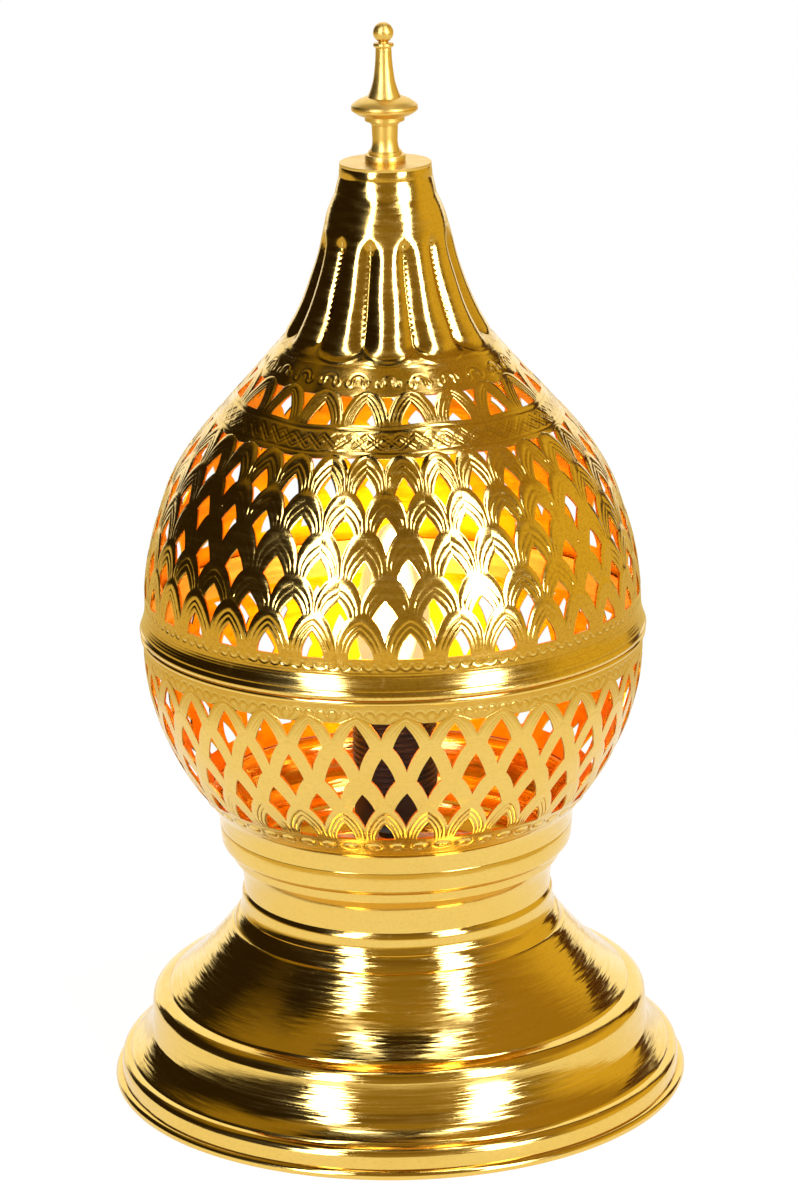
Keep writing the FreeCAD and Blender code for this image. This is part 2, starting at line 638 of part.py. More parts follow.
nodes = {
    "finial_spire": make_finial_spire(),
    "finial_disc": make_finial_disc(),
    "finial_column": make_finial_column(),
    "finial_plinth": make_finial_plinth(),
    "finial_stud": make_finial_stud(),
    "finial_nut": hexagon(FINIAL_NUT_FLATS, FINIAL_NUT_Z, FINIAL_NUT_H, STUD_R),
    "finial_washer": ring(STUD_HOLE_R, 5.0, CAP_BOTTOM_Z - WASHER_H, CAP_BOTTOM_Z),
    "top_cap": ring(STUD_HOLE_R, CAP_R, CAP_BOTTOM_Z, CAP_TOP_Z),
    "upper_dome": make_upper_dome(),
    "lower_bowl": make_lower_bowl(),
    "spigot_ring": make_spigot_ring(),
    "collar": make_collar(),
    "neck_sleeve": make_neck_sleeve(),
    "foot": make_foot(),
    "cable_gland": make_cable_gland(),
    "holder_bridge": make_holder_bridge(),
    "bridge_screws": make_bridge_screws(),
    "nipple": make_nipple(),
    "nipple_nuts": make_nipple_nuts(),
    "nipple_washers": make_nipple_washers(),
    "holder_cap": make_holder_cap(),
    "holder_skirt": make_holder_skirt(),
    "holder_insert": make_holder_insert(),
    "holder_screw_shell": make_screw_shell(),
    "holder_contact": make_holder_contact(),
    "terminal_screws": make_terminal_screws(),
    "lamp_glass": make_lamp_glass(),
    "lamp_cap_shell": make_lamp_cap_shell(),
    "lamp_cap_insulator": make_lamp_cap_insulator(),
    "lamp_contact": make_lamp_contact(),
    "lamp_stem": lamp_stem,
    "lamp_filaments": lamp_filaments,
    "lamp_lead_wires": lamp_lead_wires,
}

os.makedirs("parts", exist_ok=True)
for name, shape in nodes.items():
    shape.exportStep("parts/" + name + ".step")
    print(name, "valid", shape.isValid(), "solids", len(shape.Solids), "volume", round(shape.Volume))
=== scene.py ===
import bmesh
import bpy
import json
import math
import random
import numpy as np
from mathutils import Matrix, Vector


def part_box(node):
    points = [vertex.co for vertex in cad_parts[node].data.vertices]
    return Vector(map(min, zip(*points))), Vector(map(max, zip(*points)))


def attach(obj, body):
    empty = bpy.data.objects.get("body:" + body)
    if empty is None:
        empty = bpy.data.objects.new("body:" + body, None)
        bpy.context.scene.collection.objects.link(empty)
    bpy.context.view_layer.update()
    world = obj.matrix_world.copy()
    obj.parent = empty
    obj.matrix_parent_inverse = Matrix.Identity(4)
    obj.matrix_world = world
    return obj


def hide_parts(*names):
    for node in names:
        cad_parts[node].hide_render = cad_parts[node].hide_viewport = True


# Moroccan brass lantern with a pierced dome over a pierced bowl. Lengths in the outlines are millimetres in
# the frame's own axes, and they are put into metres when a mesh is made. Turn is the angle around Z from
# the front (-Y), positive towards +X.

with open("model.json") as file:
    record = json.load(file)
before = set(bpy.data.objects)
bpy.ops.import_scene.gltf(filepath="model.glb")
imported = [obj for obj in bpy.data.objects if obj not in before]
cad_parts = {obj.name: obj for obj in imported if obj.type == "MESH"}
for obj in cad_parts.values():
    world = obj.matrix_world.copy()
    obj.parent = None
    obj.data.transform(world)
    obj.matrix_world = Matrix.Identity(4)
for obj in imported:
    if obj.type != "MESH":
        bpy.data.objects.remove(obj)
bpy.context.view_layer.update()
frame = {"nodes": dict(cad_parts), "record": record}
SLOT = {part["node"]: part["material_slot"] for part in frame["record"]["subparts"]}
MM = 0.001
SEGMENTS = 288            # around the turned parts
COLUMNS = 33              # openings around the dome and the bowl
PITCH = 360.0 / COLUMNS
TOP_ARCHES = 20           # arches around the shoulder
TOP_PITCH = 360.0 / TOP_ARCHES
LATTICE_TURN = -1.7       # the dome's hand-cut rows start a little to one side
BOWL_TURN = -3.0          # and so do the bowl's
AROUND = 1320             # points around a pierced sheet, a multiple of both counts
SHEET = 1.0
NECK_SHEET = 1.4
FOOT_SHEET = 1.2
FLUTES = 12


# ---------------------------------------------------------------- curves

def spline(points, step=0.7):
    """Sample a smooth curve through the points (natural cubic over the chord length)."""
    pts = np.array(points, float)
    chord = np.concatenate([[0.0], np.cumsum(np.hypot(*np.diff(pts, axis=0).T))])
    n = len(pts)
    gaps = np.diff(chord)
    system = np.zeros((n, n))
    right = np.zeros((n, 2))
    system[0, 0] = 1.0
    system[-1, -1] = 1.0
    for i in range(1, n - 1):
        system[i, i - 1] = gaps[i - 1]
        system[i, i] = 2 * (gaps[i - 1] + gaps[i])
        system[i, i + 1] = gaps[i]
        right[i] = 6 * ((pts[i + 1] - pts[i]) / gaps[i] - (pts[i] - pts[i - 1]) / gaps[i - 1])
    bend = np.linalg.solve(system, right)
    samples = []
    for i in range(n - 1):
        count = max(2, int(round(gaps[i] / step)))
        for k in range(count):
            t = gaps[i] * k / count
            a = gaps[i] - t
            samples.append(bend[i] * a ** 3 / (6 * gaps[i]) + bend[i + 1] * t ** 3 / (6 * gaps[i])
                           + (pts[i] / gaps[i] - bend[i] * gaps[i] / 6) * a
                           + (pts[i + 1] / gaps[i] - bend[i + 1] * gaps[i] / 6) * t)
    samples.append(pts[-1])
    return [tuple(p) for p in samples]


def outline(*runs, step=0.7):
    """Points of an outline. Each run goes on from the end of the last one: one point is a straight line to
    it, several are a smooth curve through them."""
    points = [runs[0][0]]
    for number, run in enumerate(runs):
        new = run[1:] if number == 0 else run
        if len(new) == 1:
            points.append(new[0])
        else:
            points += spline([points[-1]] + list(new), step)[1:]
    return points


class Profile:
    """Radius and outward normal of a turned surface at a height."""

    def __init__(self, points):
        dense = np.array(spline(points, 0.25))
        if dense[0, 1] > dense[-1, 1]:
            dense = dense[::-1]
        self.z = dense[:, 1]
        self.r = dense[:, 0]
        dr = np.gradient(self.r)
        dz = np.gradient(self.z)
        size = np.hypot(dr, dz)
        self.nr = dz / size
        self.nz = -dr / size

    def at(self, z):
        z = np.asarray(z, float)
        return np.interp(z, self.z, self.r), np.interp(z, self.z, self.nr), np.interp(z, self.z, self.nz)


# ---------------------------------------------------------------- meshes

def new_piece(name, points, faces, material, nodes, body, sharp=38.0, relief=None, fix=False):
    """A mesh piece from points in millimetres that stands for CAD nodes and rides on a body. Fix turns its
    faces outward."""
    mesh = bpy.data.meshes.new(name)
    mesh.from_pydata([tuple(p) for p in np.asarray(points, float) * MM], [], faces)
    mesh.validate()
    if fix:
        work = bmesh.new()
        work.from_mesh(mesh)
        bmesh.ops.recalc_face_normals(work, faces=work.faces)
        work.to_mesh(mesh)
        work.free()
    mesh.shade_smooth()
    mesh.set_sharp_from_angle(angle=math.radians(sharp))
    if relief is not None:
        layer = mesh.attributes.new("relief", "FLOAT", "POINT")
        layer.data.foreach_set("value", np.asarray(relief, np.float32))
    mesh.materials.append(material)
    piece = bpy.data.objects.new(name, mesh)
    bpy.context.scene.collection.objects.link(piece)
    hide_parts(*nodes)
    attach(piece, body)
    return piece


def add_row(points, around, z, radius_at):
    """Adds a row of points right around the axis. Radius_at gives the radius at a turn in degrees."""
    row = []
    for j in range(around):
        turn = 360.0 * j / around
        radius = radius_at(turn)
        angle = math.radians(turn)
        row.append(len(points))
        points.append((radius * math.sin(angle), -radius * math.cos(angle), z))
    return row


def ring_faces(rows):
    """Faces between each row of points around the axis and the next, and from the last row to the first. A
    row on the axis is one point many times."""
    faces = []
    around = len(rows[0])
    for i in range(len(rows)):
        low = rows[i]
        high = rows[(i + 1) % len(rows)]
        if low[0] == low[1] and high[0] == high[1]:
            continue
        for j in range(around):
            k = (j + 1) % around
            face = []
            for v in (low[j], low[k], high[k], high[j]):
                if v not in face:
                    face.append(v)
            faces.append(face)
    return faces


def turned_piece(name, points, material, nodes, body, segments=SEGMENTS, shift=None, sharp=38.0):
    """A closed outline of (r, z) turned about Z. Shift gives how far a point at a turn in degrees and a
    height lies further out."""
    turned = []
    rows = []
    for r, z in points:
        if r < 1e-6:
            rows.append([len(turned)] * segments)
            turned.append((0.0, 0.0, z))
        else:
            rows.append(add_row(turned, segments, z, lambda turn: r + (shift(turn, z) if shift else 0.0)))
    faces = ring_faces(rows)
    area = sum(a[0] * b[1] - b[0] * a[1] for a, b in zip(points, points[1:] + points[:1]))
    if area < 0:
        faces = [f[::-1] for f in faces]
    return new_piece(name, turned, faces, material, nodes, body, sharp)


def spun(amount, seed):
    """A slow uneven swell of a few hundredths around a spun part."""
    rng = random.Random(seed)
    waves = [(rng.randint(2, 9), rng.uniform(0.02, 0.09), rng.uniform(0, 2 * math.pi)) for _ in range(6)]

    def shift(turn, z):
        angle = math.radians(turn)
        return amount * sum(math.sin(n * angle + k * z + phase) / (2 + 0.5 * n) for n, k, phase in waves)
    return shift


# ---------------------------------------------------------------- pierced sheet

ACROSS = 9                # steps across a strap
BELOW = 5                 # further steps of an arch down to the tip between two arches
SIDE = 2                  # steps down the valley between two arches
CURVE = 24                # steps of an opening's curved side before its points are spread evenly
TRIANGLE_CORNER = 10      # the arch point under a hanging triangle's corner
INSIDE = -5.0             # relief mark of the sheets' inner faces
# Shares of a strap's width from the opening outward, and how far a full-strength strap stands up at each
WIDTHS = [0.0, 0.06, 0.24, 0.30, 0.36, 0.50, 0.56, 0.62, 0.92, 1.0]
CHASED = [0.0, 0.10, 0.12, 0.01, 0.17, 0.19, 0.06, 0.25, 0.23, 0.0]


def lerp(a, b, t):
    return a[0] + (b[0] - a[0]) * t, a[1] + (b[1] - a[1]) * t


def spread(places, count):
    """Count + 1 places spaced evenly along a line of places."""
    pts = np.array(places, float)
    along = np.concatenate([[0.0], np.cumsum(np.hypot(*np.diff(pts, axis=0).T))])
    wanted = np.linspace(0, along[-1], count + 1)
    return list(zip(np.interp(wanted, along, pts[:, 0]), np.interp(wanted, along, pts[:, 1])))


class PiercedSheet:
    """A pierced sheet on a turned profile. Points are (turn in degrees, height, relief); cells and bands
    share them, and the inner face is a copy one sheet thickness further in."""

    def __init__(self, profile, thickness):
        self.profile = profile
        self.thickness = thickness
        self.turn = []
        self.z = []
        self.relief = []
        self.shared = {}
        self.outer = []
        self.cells = []
        self.inner_bands = []
        self.walls = []

    def add(self, turn, z, relief=0.0):
        self.turn.append(turn)
        self.z.append(z)
        self.relief.append(relief)
        return len(self.z) - 1

    def node(self, turn, z):
        """The point at a place on the boundary between cells, made once."""
        key = (int(round((turn % 360.0) * 1000 + 0.137)) % 360000, int(round(z * 1000 + 0.137)))
        if key not in self.shared:
            self.shared[key] = self.add(turn, z)
        return self.shared[key]

    def degrees(self, length, z):
        """The turn that a length across the sheet makes at a height."""
        return math.degrees(length / float(self.profile.at(z)[0]))

    def face(self, *corners):
        self.outer.append(corners)
        self.cells.append(corners)

    def strip(self, upper, lower):
        """Quads between two open lines of points that run the same way."""
        for i in range(len(upper) - 1):
            self.face(upper[i], upper[i + 1], lower[i + 1], lower[i])

    def line(self, z, phase):
        """A closed line of evenly spaced shared points."""
        return [self.node(phase + 360.0 * i / AROUND, z) for i in range(AROUND)]

    def edge(self, line, z):
        """A free edge of the sheet at a height, with a point straight over each point of a line."""
        points = [self.add(self.turn[i], z) for i in line]
        self.walls.append(points)
        return points

    def even_edge(self, line, z):
        """A free edge with as many points as a line, evenly spaced from the line's first turn."""
        first = self.turn[line[0]]
        points = [self.add(first + 360.0 * i / len(line), z) for i in range(len(line))]
        self.walls.append(points)
        return points

    def rows_between(self, top, bottom, count, heights, inner_rows=3):
        """Rows of quads right around the sheet between two closed lines with the same number of points."""
        rows = [top]
        places = [(self.turn[a], self.z[a]) for a in top]
        ends = [(self.turn[b] - 360.0 * round((self.turn[b] - self.turn[a]) / 360.0), self.z[b])
                for a, b in zip(top, bottom)]
        for k in range(1, count):
            row = []
            for start, end in zip(places, ends):
                turn, z = lerp(start, end, k / count)
                row.append(self.add(turn, z, heights(turn, z)))
            rows.append(row)
        rows.append(bottom)
        for upper, lower in zip(rows, rows[1:]):
            for i in range(len(top)):
                j = (i + 1) % len(top)
                self.outer.append((upper[i], upper[j], lower[j], lower[i]))
        marks = sorted({round(count * k / inner_rows) for k in range(inner_rows + 1)})
        for a, b in zip(marks, marks[1:]):
            self.inner_bands.append((rows[a], rows[b]))

    def build(self, warp):
        """Points in millimetres, faces and reliefs of the closed sheet."""
        n = len(self.z)
        turn = np.array(self.turn)
        z = np.array(self.z)
        relief = np.array(self.relief)
        swell, turn_shift, z_shift = warp(turn, z)
        turn = turn + turn_shift
        z = z + z_shift
        used = set()
        for face in self.cells:
            used.update(face)
        for upper, lower in self.inner_bands:
            used.update(upper)
            used.update(lower)
        ids = np.array(sorted(used))
        twin = {int(i): n + k for k, i in enumerate(ids)}
        all_turn = np.radians(np.concatenate([turn, turn[ids]]))
        all_z = np.concatenate([z, z[ids]])
        out = np.concatenate([relief + swell, swell[ids] - self.thickness])
        r, nr, nz = self.profile.at(all_z)
        radial = r + nr * out
        points = np.stack([radial * np.sin(all_turn), -radial * np.cos(all_turn), all_z + nz * out], axis=1)
        faces = list(self.outer)
        faces += [tuple(twin[i] for i in f[::-1]) for f in self.cells]
        for upper, lower in self.inner_bands:
            for i in range(len(upper)):
                j = (i + 1) % len(upper)
                faces.append((twin[lower[i]], twin[lower[j]], twin[upper[j]], twin[upper[i]]))
        for loop in self.walls:
            for i in range(len(loop)):
                a = loop[i]
                b = loop[(i + 1) % len(loop)]
                faces.append((a, b, twin[b], twin[a]))
        return points, faces, np.concatenate([relief, np.full(len(ids), INSIDE)])


class Lattice:
    """Rows of petal-shaped arches around a pierced sheet. Petals are (tip z, apex z, opening's apex z) from
    the top row down; every other row stands half a pitch aside. Foot is the height of the last row's flat
    foot and half its opening's width, strength scales each row's relief, corner is the share of a half arch
    where the next row's openings begin, arch is an arch's slope at its apex and its power, bulge rounds the
    diamonds' upper edges, and power those of the last row."""

    def __init__(self, sheet, count, phase, line_z, petals, foot, seed, strength, corner, arch,
                 bulge=0.5, power=1.9):
        self.sheet = sheet
        self.shares = [corner * (1.0 - w) for w in WIDTHS][::-1]
        self.shares += [corner + (1.0 - corner) * k / BELOW for k in range(1, BELOW + 1)]
        self.slope, self.arch_power = arch
        self.count = count
        self.pitch = 360.0 / count
        self.steps = AROUND // count
        self.phase = phase
        self.line_z = line_z
        self.petals = petals
        self.foot_z, self.foot_half = foot
        self.rng = random.Random(seed)
        self.strength = strength
        self.bulge = bulge
        self.power = power

    def arch(self, row, middle, side):
        """Points of one side of an arch from its apex to the tip beside it."""
        tip_z, apex_z, _ = self.petals[row]
        line = []
        for share in self.shares:
            height = 1.0 - self.slope * share - (1.0 - self.slope) * share ** self.arch_power
            z = tip_z + (apex_z - tip_z) * height
            line.append(self.sheet.node(middle + side * share * self.pitch / 2, z))
        return line

    def valley(self, turn, top_z, low_z):
        """Points down the valley between two petals, without its top point."""
        return [self.sheet.node(turn, top_z + (low_z - top_z) * k / SIDE) for k in range(1, SIDE + 1)]

    def place(self, i, near):
        """A point's turn, counted on the same side of the seam as another turn, and its height."""
        turn = self.sheet.turn[i]
        return turn - 360.0 * round((turn - near) / 360.0), self.sheet.z[i]

    def inward(self, i, middle, margin):
        """The place a margin in millimetres from a point of an arch towards the middle of an opening."""
        turn, z = self.place(i, middle)
        degree = self.sheet.degrees(1.0, z)
        side = 1.0 if turn < middle else -1.0
        return turn + side * margin * degree, z + 0.4 * margin

    def resize(self, places, anchor, grow, aside):
        """Places grown about an anchor and moved aside."""
        anchor_turn, anchor_z = anchor
        return [(anchor_turn + (turn - anchor_turn) * grow + aside, anchor_z + (z - anchor_z) * grow)
                for turn, z in places]

    def jitter(self, amount, middle=0.0):
        """A value that misses the middle by up to an amount, as hand work does."""
        return self.rng.uniform(middle - amount, middle + amount)

    def strap(self, inner, outer, left_end, right_end, reliefs):
        """A raised strap between an opening's edge (inner, as places) and the outer line (as points). Each
        end runs from the opening outward. Returns the points along the opening."""
        sheet = self.sheet
        n = len(inner) - 1
        near = inner[n // 2][0]
        ends = [[self.place(i, near) for i in left_end], [self.place(i, near) for i in right_end]]
        grid = [left_end]
        for i in range(1, n):
            s = i / n
            far = self.place(outer[i], near)
            pulls = [max(0.0, 1 - 2.5 * s) ** 2, max(0.0, 2.5 * s - 1.5) ** 2]
            row = []
            for j in range(ACROSS):
                t, z = lerp(inner[i], far, WIDTHS[j])
                for end, pull in zip(ends, pulls):
                    straight = lerp(end[0], end[-1], WIDTHS[j])
                    t += (end[j][0] - straight[0]) * pull
                    z += (end[j][1] - straight[1]) * pull
                row.append(sheet.add(t, z, reliefs[j]))
            row.append(outer[i])
            grid.append(row)
        grid.append(right_end)
        for upper, lower in zip(grid, grid[1:]):
            for j in range(ACROSS):
                sheet.face(upper[j], lower[j], lower[j + 1], upper[j + 1])
        return [row[0] for row in grid]

    def outer_line(self, row, middle, low_z):
        """The outer line of a petal: up one valley, over the arch and down the other valley."""
        tip_z = self.petals[row][0]
        half = self.pitch / 2
        left = self.valley(middle - half, tip_z, low_z)[::-1] + self.arch(row, middle, -1)[::-1]
        right = self.arch(row, middle, 1)[1:] + self.valley(middle + half, tip_z, low_z)
        return left + right

    def triangle(self, middle):
        """A hanging triangle between the top line and the two arches under it."""
        sheet = self.sheet
        steps = self.steps
        half = self.pitch / 2
        top = [sheet.node(middle - half + self.pitch * k / steps, self.line_z) for k in range(steps + 1)]
        right = self.arch(0, middle + half, -1)
        left = self.arch(0, middle - half, 1)
        ring = top + right[1:] + left[::-1][1:-1]
        tip_z = self.petals[0][0]
        anchor = (middle, tip_z + 0.75 * (self.line_z - tip_z))
        right_edge = [self.inward(i, middle, 0.4) for i in right[TRIANGLE_CORNER:-1]]
        left_edge = [self.inward(i, middle, 0.4) for i in left[TRIANGLE_CORNER:-1]]
        low = (middle + self.jitter(0.05), tip_z + 0.8)
        across = spread([left_edge[0], right_edge[0]], steps + 2 * TRIANGLE_CORNER)
        places = across[TRIANGLE_CORNER:] + right_edge[1:] + [low] + left_edge[::-1][:-1]
        places += across[:TRIANGLE_CORNER]
        places = self.resize(places, anchor, self.jitter(0.04, 0.96), self.jitter(0.08))
        opening = [sheet.add(t, z, -0.05) for t, z in places]
        for i in range(len(ring)):
            j = (i + 1) % len(ring)
            sheet.face(ring[i], ring[j], opening[j], opening[i])
        sheet.walls.append(opening)

    def diamond(self, row, middle, reliefs):
        """A diamond opening with its strap, over the two arches of the row below."""
        sheet = self.sheet
        half = self.pitch / 2
        open_z = self.petals[row][2]
        low_tip_z, low_apex_z, _ = self.petals[row + 1]
        outer = self.outer_line(row, middle, low_apex_z)
        left_arch = self.arch(row + 1, middle - half, 1)
        right_arch = self.arch(row + 1, middle + half, -1)
        corner_z = sheet.z[left_arch[ACROSS]]
        anchor = (middle, corner_z)
        left_edge = [self.inward(i, middle, 0.3) for i in left_arch[ACROSS:-1]]
        right_edge = [self.inward(i, middle, 0.3) for i in right_arch[ACROSS:-1]]
        low = (middle + self.jitter(0.05), low_tip_z + 0.7)
        top_z = open_z + self.jitter(0.4)
        top_turn = middle + self.jitter(0.2)
        sides = []
        for corner_turn, z in (left_edge[0], right_edge[0]):
            side = []
            for k in range(CURVE + 1):
                down = k / CURVE
                across = down * (1 + self.bulge * (1 - down))
                side.append((top_turn + (corner_turn - top_turn) * across, top_z + (z - top_z) * down))
            sides.append(spread(side, (len(outer) - 1) // 2))
        upper = sides[0][::-1] + sides[1][1:]
        grow = self.jitter(0.025, 0.975)
        aside = self.jitter(0.07)
        upper = self.resize(upper, anchor, grow, aside)
        left_places = self.resize(left_edge + [low], anchor, grow, aside)
        right_places = self.resize(right_edge, anchor, grow, aside)
        left_points = [sheet.add(t, z, reliefs[0]) for t, z in left_places]
        right_points = [sheet.add(t, z, reliefs[0]) for t, z in right_places] + [left_points[-1]]
        left_end = [left_points[0]] + left_arch[:ACROSS][::-1]
        right_end = [right_points[0]] + right_arch[:ACROSS][::-1]
        along = self.strap(upper, outer, left_end, right_end, reliefs)
        sheet.face(left_points[0], left_arch[ACROSS - 1], left_arch[ACROSS])
        sheet.face(right_points[0], right_arch[ACROSS], right_arch[ACROSS - 1])
        sheet.strip(left_points, left_arch[ACROSS:])
        sheet.strip(right_arch[ACROSS:], right_points)
        sheet.walls.append(along + right_points[1:] + left_points[::-1][1:-1])

    def flat_arch(self, middle, reliefs):
        """An opening with a flat foot and its strap in the last row. Returns the line along its foot
        without the last point."""
        sheet = self.sheet
        half = self.pitch / 2
        row = len(self.petals) - 1
        open_z = self.petals[row][2] + self.jitter(0.4)
        outer = self.outer_line(row, middle, self.foot_z)
        width = sheet.degrees(self.foot_half, self.foot_z) * self.jitter(0.06, 1.0)
        top_turn = middle + self.jitter(0.2)
        corners = [middle - width, middle + width]
        sides = []
        for corner in corners:
            side = []
            for k in range(CURVE + 1):
                down = (k / CURVE) ** 1.3
                across = 1 - (1 - down) ** self.power
                turn = top_turn + (corner - top_turn) * across
                side.append((turn, open_z + (self.foot_z - open_z) * down))
            sides.append(spread(side, (len(outer) - 1) // 2))
        upper = sides[0][::-1] + sides[1][1:]
        ends = []
        for corner, valley_turn in zip(corners, (middle - half, middle + half)):
            end = [sheet.add(corner, self.foot_z, reliefs[0])]
            for w in WIDTHS[1:-1]:
                end.append(sheet.add(corner + (valley_turn - corner) * w, self.foot_z, 0.0))
            end.append(sheet.node(valley_turn, self.foot_z))
            ends.append(end)
        along = self.strap(upper, outer, ends[0], ends[1], reliefs)
        base = [ends[0][0]]
        base_steps = self.steps - 2 * ACROSS
        for k in range(1, base_steps):
            base.append(sheet.add(middle - width + 2 * width * k / base_steps, self.foot_z, 0.0))
        base.append(ends[1][0])
        sheet.walls.append(along + base[::-1][1:-1])
        return ends[0][::-1] + base[1:] + ends[1][1:-1]

    def build(self):
        """All rows. Returns the closed line of points at the foot of the last row."""
        for i in range(self.count):
            self.triangle(self.phase + i * self.pitch)
        last = len(self.petals) - 1
        foot = []
        for row in range(last + 1):
            reliefs = [h * self.strength[row] for h in CHASED]
            aside = self.pitch / 2 if row % 2 == 0 else 0.0
            for i in range(self.count):
                middle = self.phase + aside + i * self.pitch
                if row < last:
                    self.diamond(row, middle, reliefs)
                else:
                    foot += self.flat_arch(middle, reliefs)
        return foot


# ---------------------------------------------------------------- chased patterns

def groove(distance, width, depth):
    """Relief of an engraved line at a distance from its middle, in millimetres."""
    return -depth * math.exp(-(distance / width) ** 2)


def ridge(distance, width, height):
    return height * math.exp(-(distance / width) ** 2)


def wave_turn(turn, count):
    """Where a turn lies in a repeat, from -0.5 to 0.5 about its middle, and the repeat's number."""
    place = turn * count / 360.0
    number = math.floor(place + 0.5)
    return place - number, number


def hand(number, seed):
    """A steady small unevenness for a repeat, from -1 to 1."""
    return math.sin(number * 12.9898 + seed * 78.233) * 0.6 + math.sin(number * 4.137 + seed) * 0.4


def swell_of(turn, z, amount, seed):
    """Slow hammered unevenness of a sheet."""
    rng = random.Random(seed)
    total = np.zeros(len(turn))
    for _ in range(14):
        around = rng.randint(3, 26)
        up = rng.uniform(0.02, 0.22)
        phase = rng.uniform(0, 2 * math.pi)
        wave = np.sin(np.radians(turn) * around + z * up * rng.choice((-1, 1)) + phase)
        total += wave / (1 + around / 16.0)
    return amount * total / 3.0


# ---------------------------------------------------------------- dome

GLOBE_TOP_Z = 359.0
SHOULDER_Z = 350.3        # top line of the shoulder's arches
SCALES_Z = 326.3          # top line of the scale lattice
DOME_BOTTOM_Z = 223.55
GLOBE = Profile([(51.6, GLOBE_TOP_Z), (59.0, 350.2), (72.2, 335.8), (86.0, 319.9), (99.6, 301.0),
                 (108.4, 280.3), (113.9, 260.0), (116.1, 241.0), (117.0, 231.0), (118.2, 226.6),
                 (118.5, DOME_BOTTOM_Z)])
MOTIFS = 25
SCALLOPS = 132
RIM_LINES = [(235.6, 0.07), (234.2, 0.1), (232.9, 0.07), (231.5, 0.09), (230.1, 0.07), (228.7, 0.1)]


def motif_relief(turn, z):
    """Row of crescent motifs under the flutes: an arch with a curl at each foot."""
    x, number = wave_turn(turn, MOTIFS)
    x = (x + 0.02 * hand(number % MOTIFS, 3)) * 360.0 / MOTIFS * math.radians(float(GLOBE.at(z)[0]))
    y = (z - 353.5) * 1.32 + 0.5 * hand(number % MOTIFS, 5)
    out = math.hypot(x, y)
    total = 0.0
    if y > -0.8:
        total += ridge(out - 2.5, 0.7, 0.18) + groove(out - 3.7, 0.4, 0.12) + groove(out - 1.4, 0.4, 0.08)
    for side in (-1, 1):
        beside = math.hypot(x - side * 3.9, y + 1.0)
        if y < -0.8 or side * x > 4.4:
            total += ridge(beside - 1.5, 0.55, 0.14)
    return total


def ticks_relief(turn, z):
    """Crossing double lines in the band between the two lattices."""
    x, number = wave_turn(turn + 1.9, COLUMNS)
    step = PITCH * math.radians(float(GLOBE.at(z)[0]))
    y = (z - 331.2) * 1.27 + 0.35 * hand(number % COLUMNS, 7)
    swing = 3.0
    reach = 4.2
    total = 0.0
    if abs(y) < reach:
        for flip in (-1, 1):
            off = (y - flip * swing * (4 * abs(x) - 1)) / math.hypot(1, 4 * swing / step)
            total += groove(off - 0.75, 0.4, 0.17) + groove(off + 0.75, 0.4, 0.17)
    total *= max(0.0, min(1.0, (reach - abs(y)) / 0.6))
    total += groove((z - 335.6) * 1.27, 0.45, 0.14) + groove((z - 327.2) * 1.27, 0.45, 0.12)
    return max(total, -0.2)


def rim_relief(turn, z):
    """Scallops, scribed lines and the rim bead under the dome's lattice."""
    total = 0.0
    if z > 234.5:
        x, number = wave_turn(turn, SCALLOPS)
        uneven = hand(number % SCALLOPS, 2)
        x = x * 360.0 / SCALLOPS * math.radians(116.4)
        y = z - (239.2 + 0.3 * uneven)
        out = math.hypot(x, y)
        if y < 0.5:
            total += groove(out - 2.3, 0.42, 0.2 + 0.06 * uneven) + ridge(out - 1.2, 0.6, 0.08)
    for level, depth in RIM_LINES:
        total += groove(z - level, 0.4, depth)
    total += groove(z - 226.9, 0.45, 0.2)
    total += ridge(z - 225.0, 0.95, 0.5)
    return total


def dome_warp(turn, z):
    """Hammered swell and the drift of rows cut by hand."""
    swell = swell_of(turn, z, 0.16, 11)
    inside = np.clip((z - 240.5) / 12.0, 0, 1) * np.clip((351.0 - z) / 10.0, 0, 1)
    around = np.radians(turn)
    aside = 0.35 * np.sin(3 * around + 0.05 * z) + 0.25 * np.sin(7 * around - 0.08 * z + 1.0)
    up = 0.45 * np.sin(4 * around + 0.6) + 0.3 * np.sin(11 * around + 0.07 * z)
    fade = np.clip((z - 222.0) / 12.0, 0.12, 1.0) * np.clip((362.0 - z) / 6.0, 0.12, 1.0)
    return swell * fade, aside * inside, up * inside


def aligned(line, with_line, sheet):
    """The closed line turned round to start beside the first point of another one."""
    first = sheet.turn[with_line[0]]
    gaps = [abs((sheet.turn[i] - first + 180.0) % 360.0 - 180.0) for i in line]
    start = gaps.index(min(gaps))
    return line[start:] + line[:start]


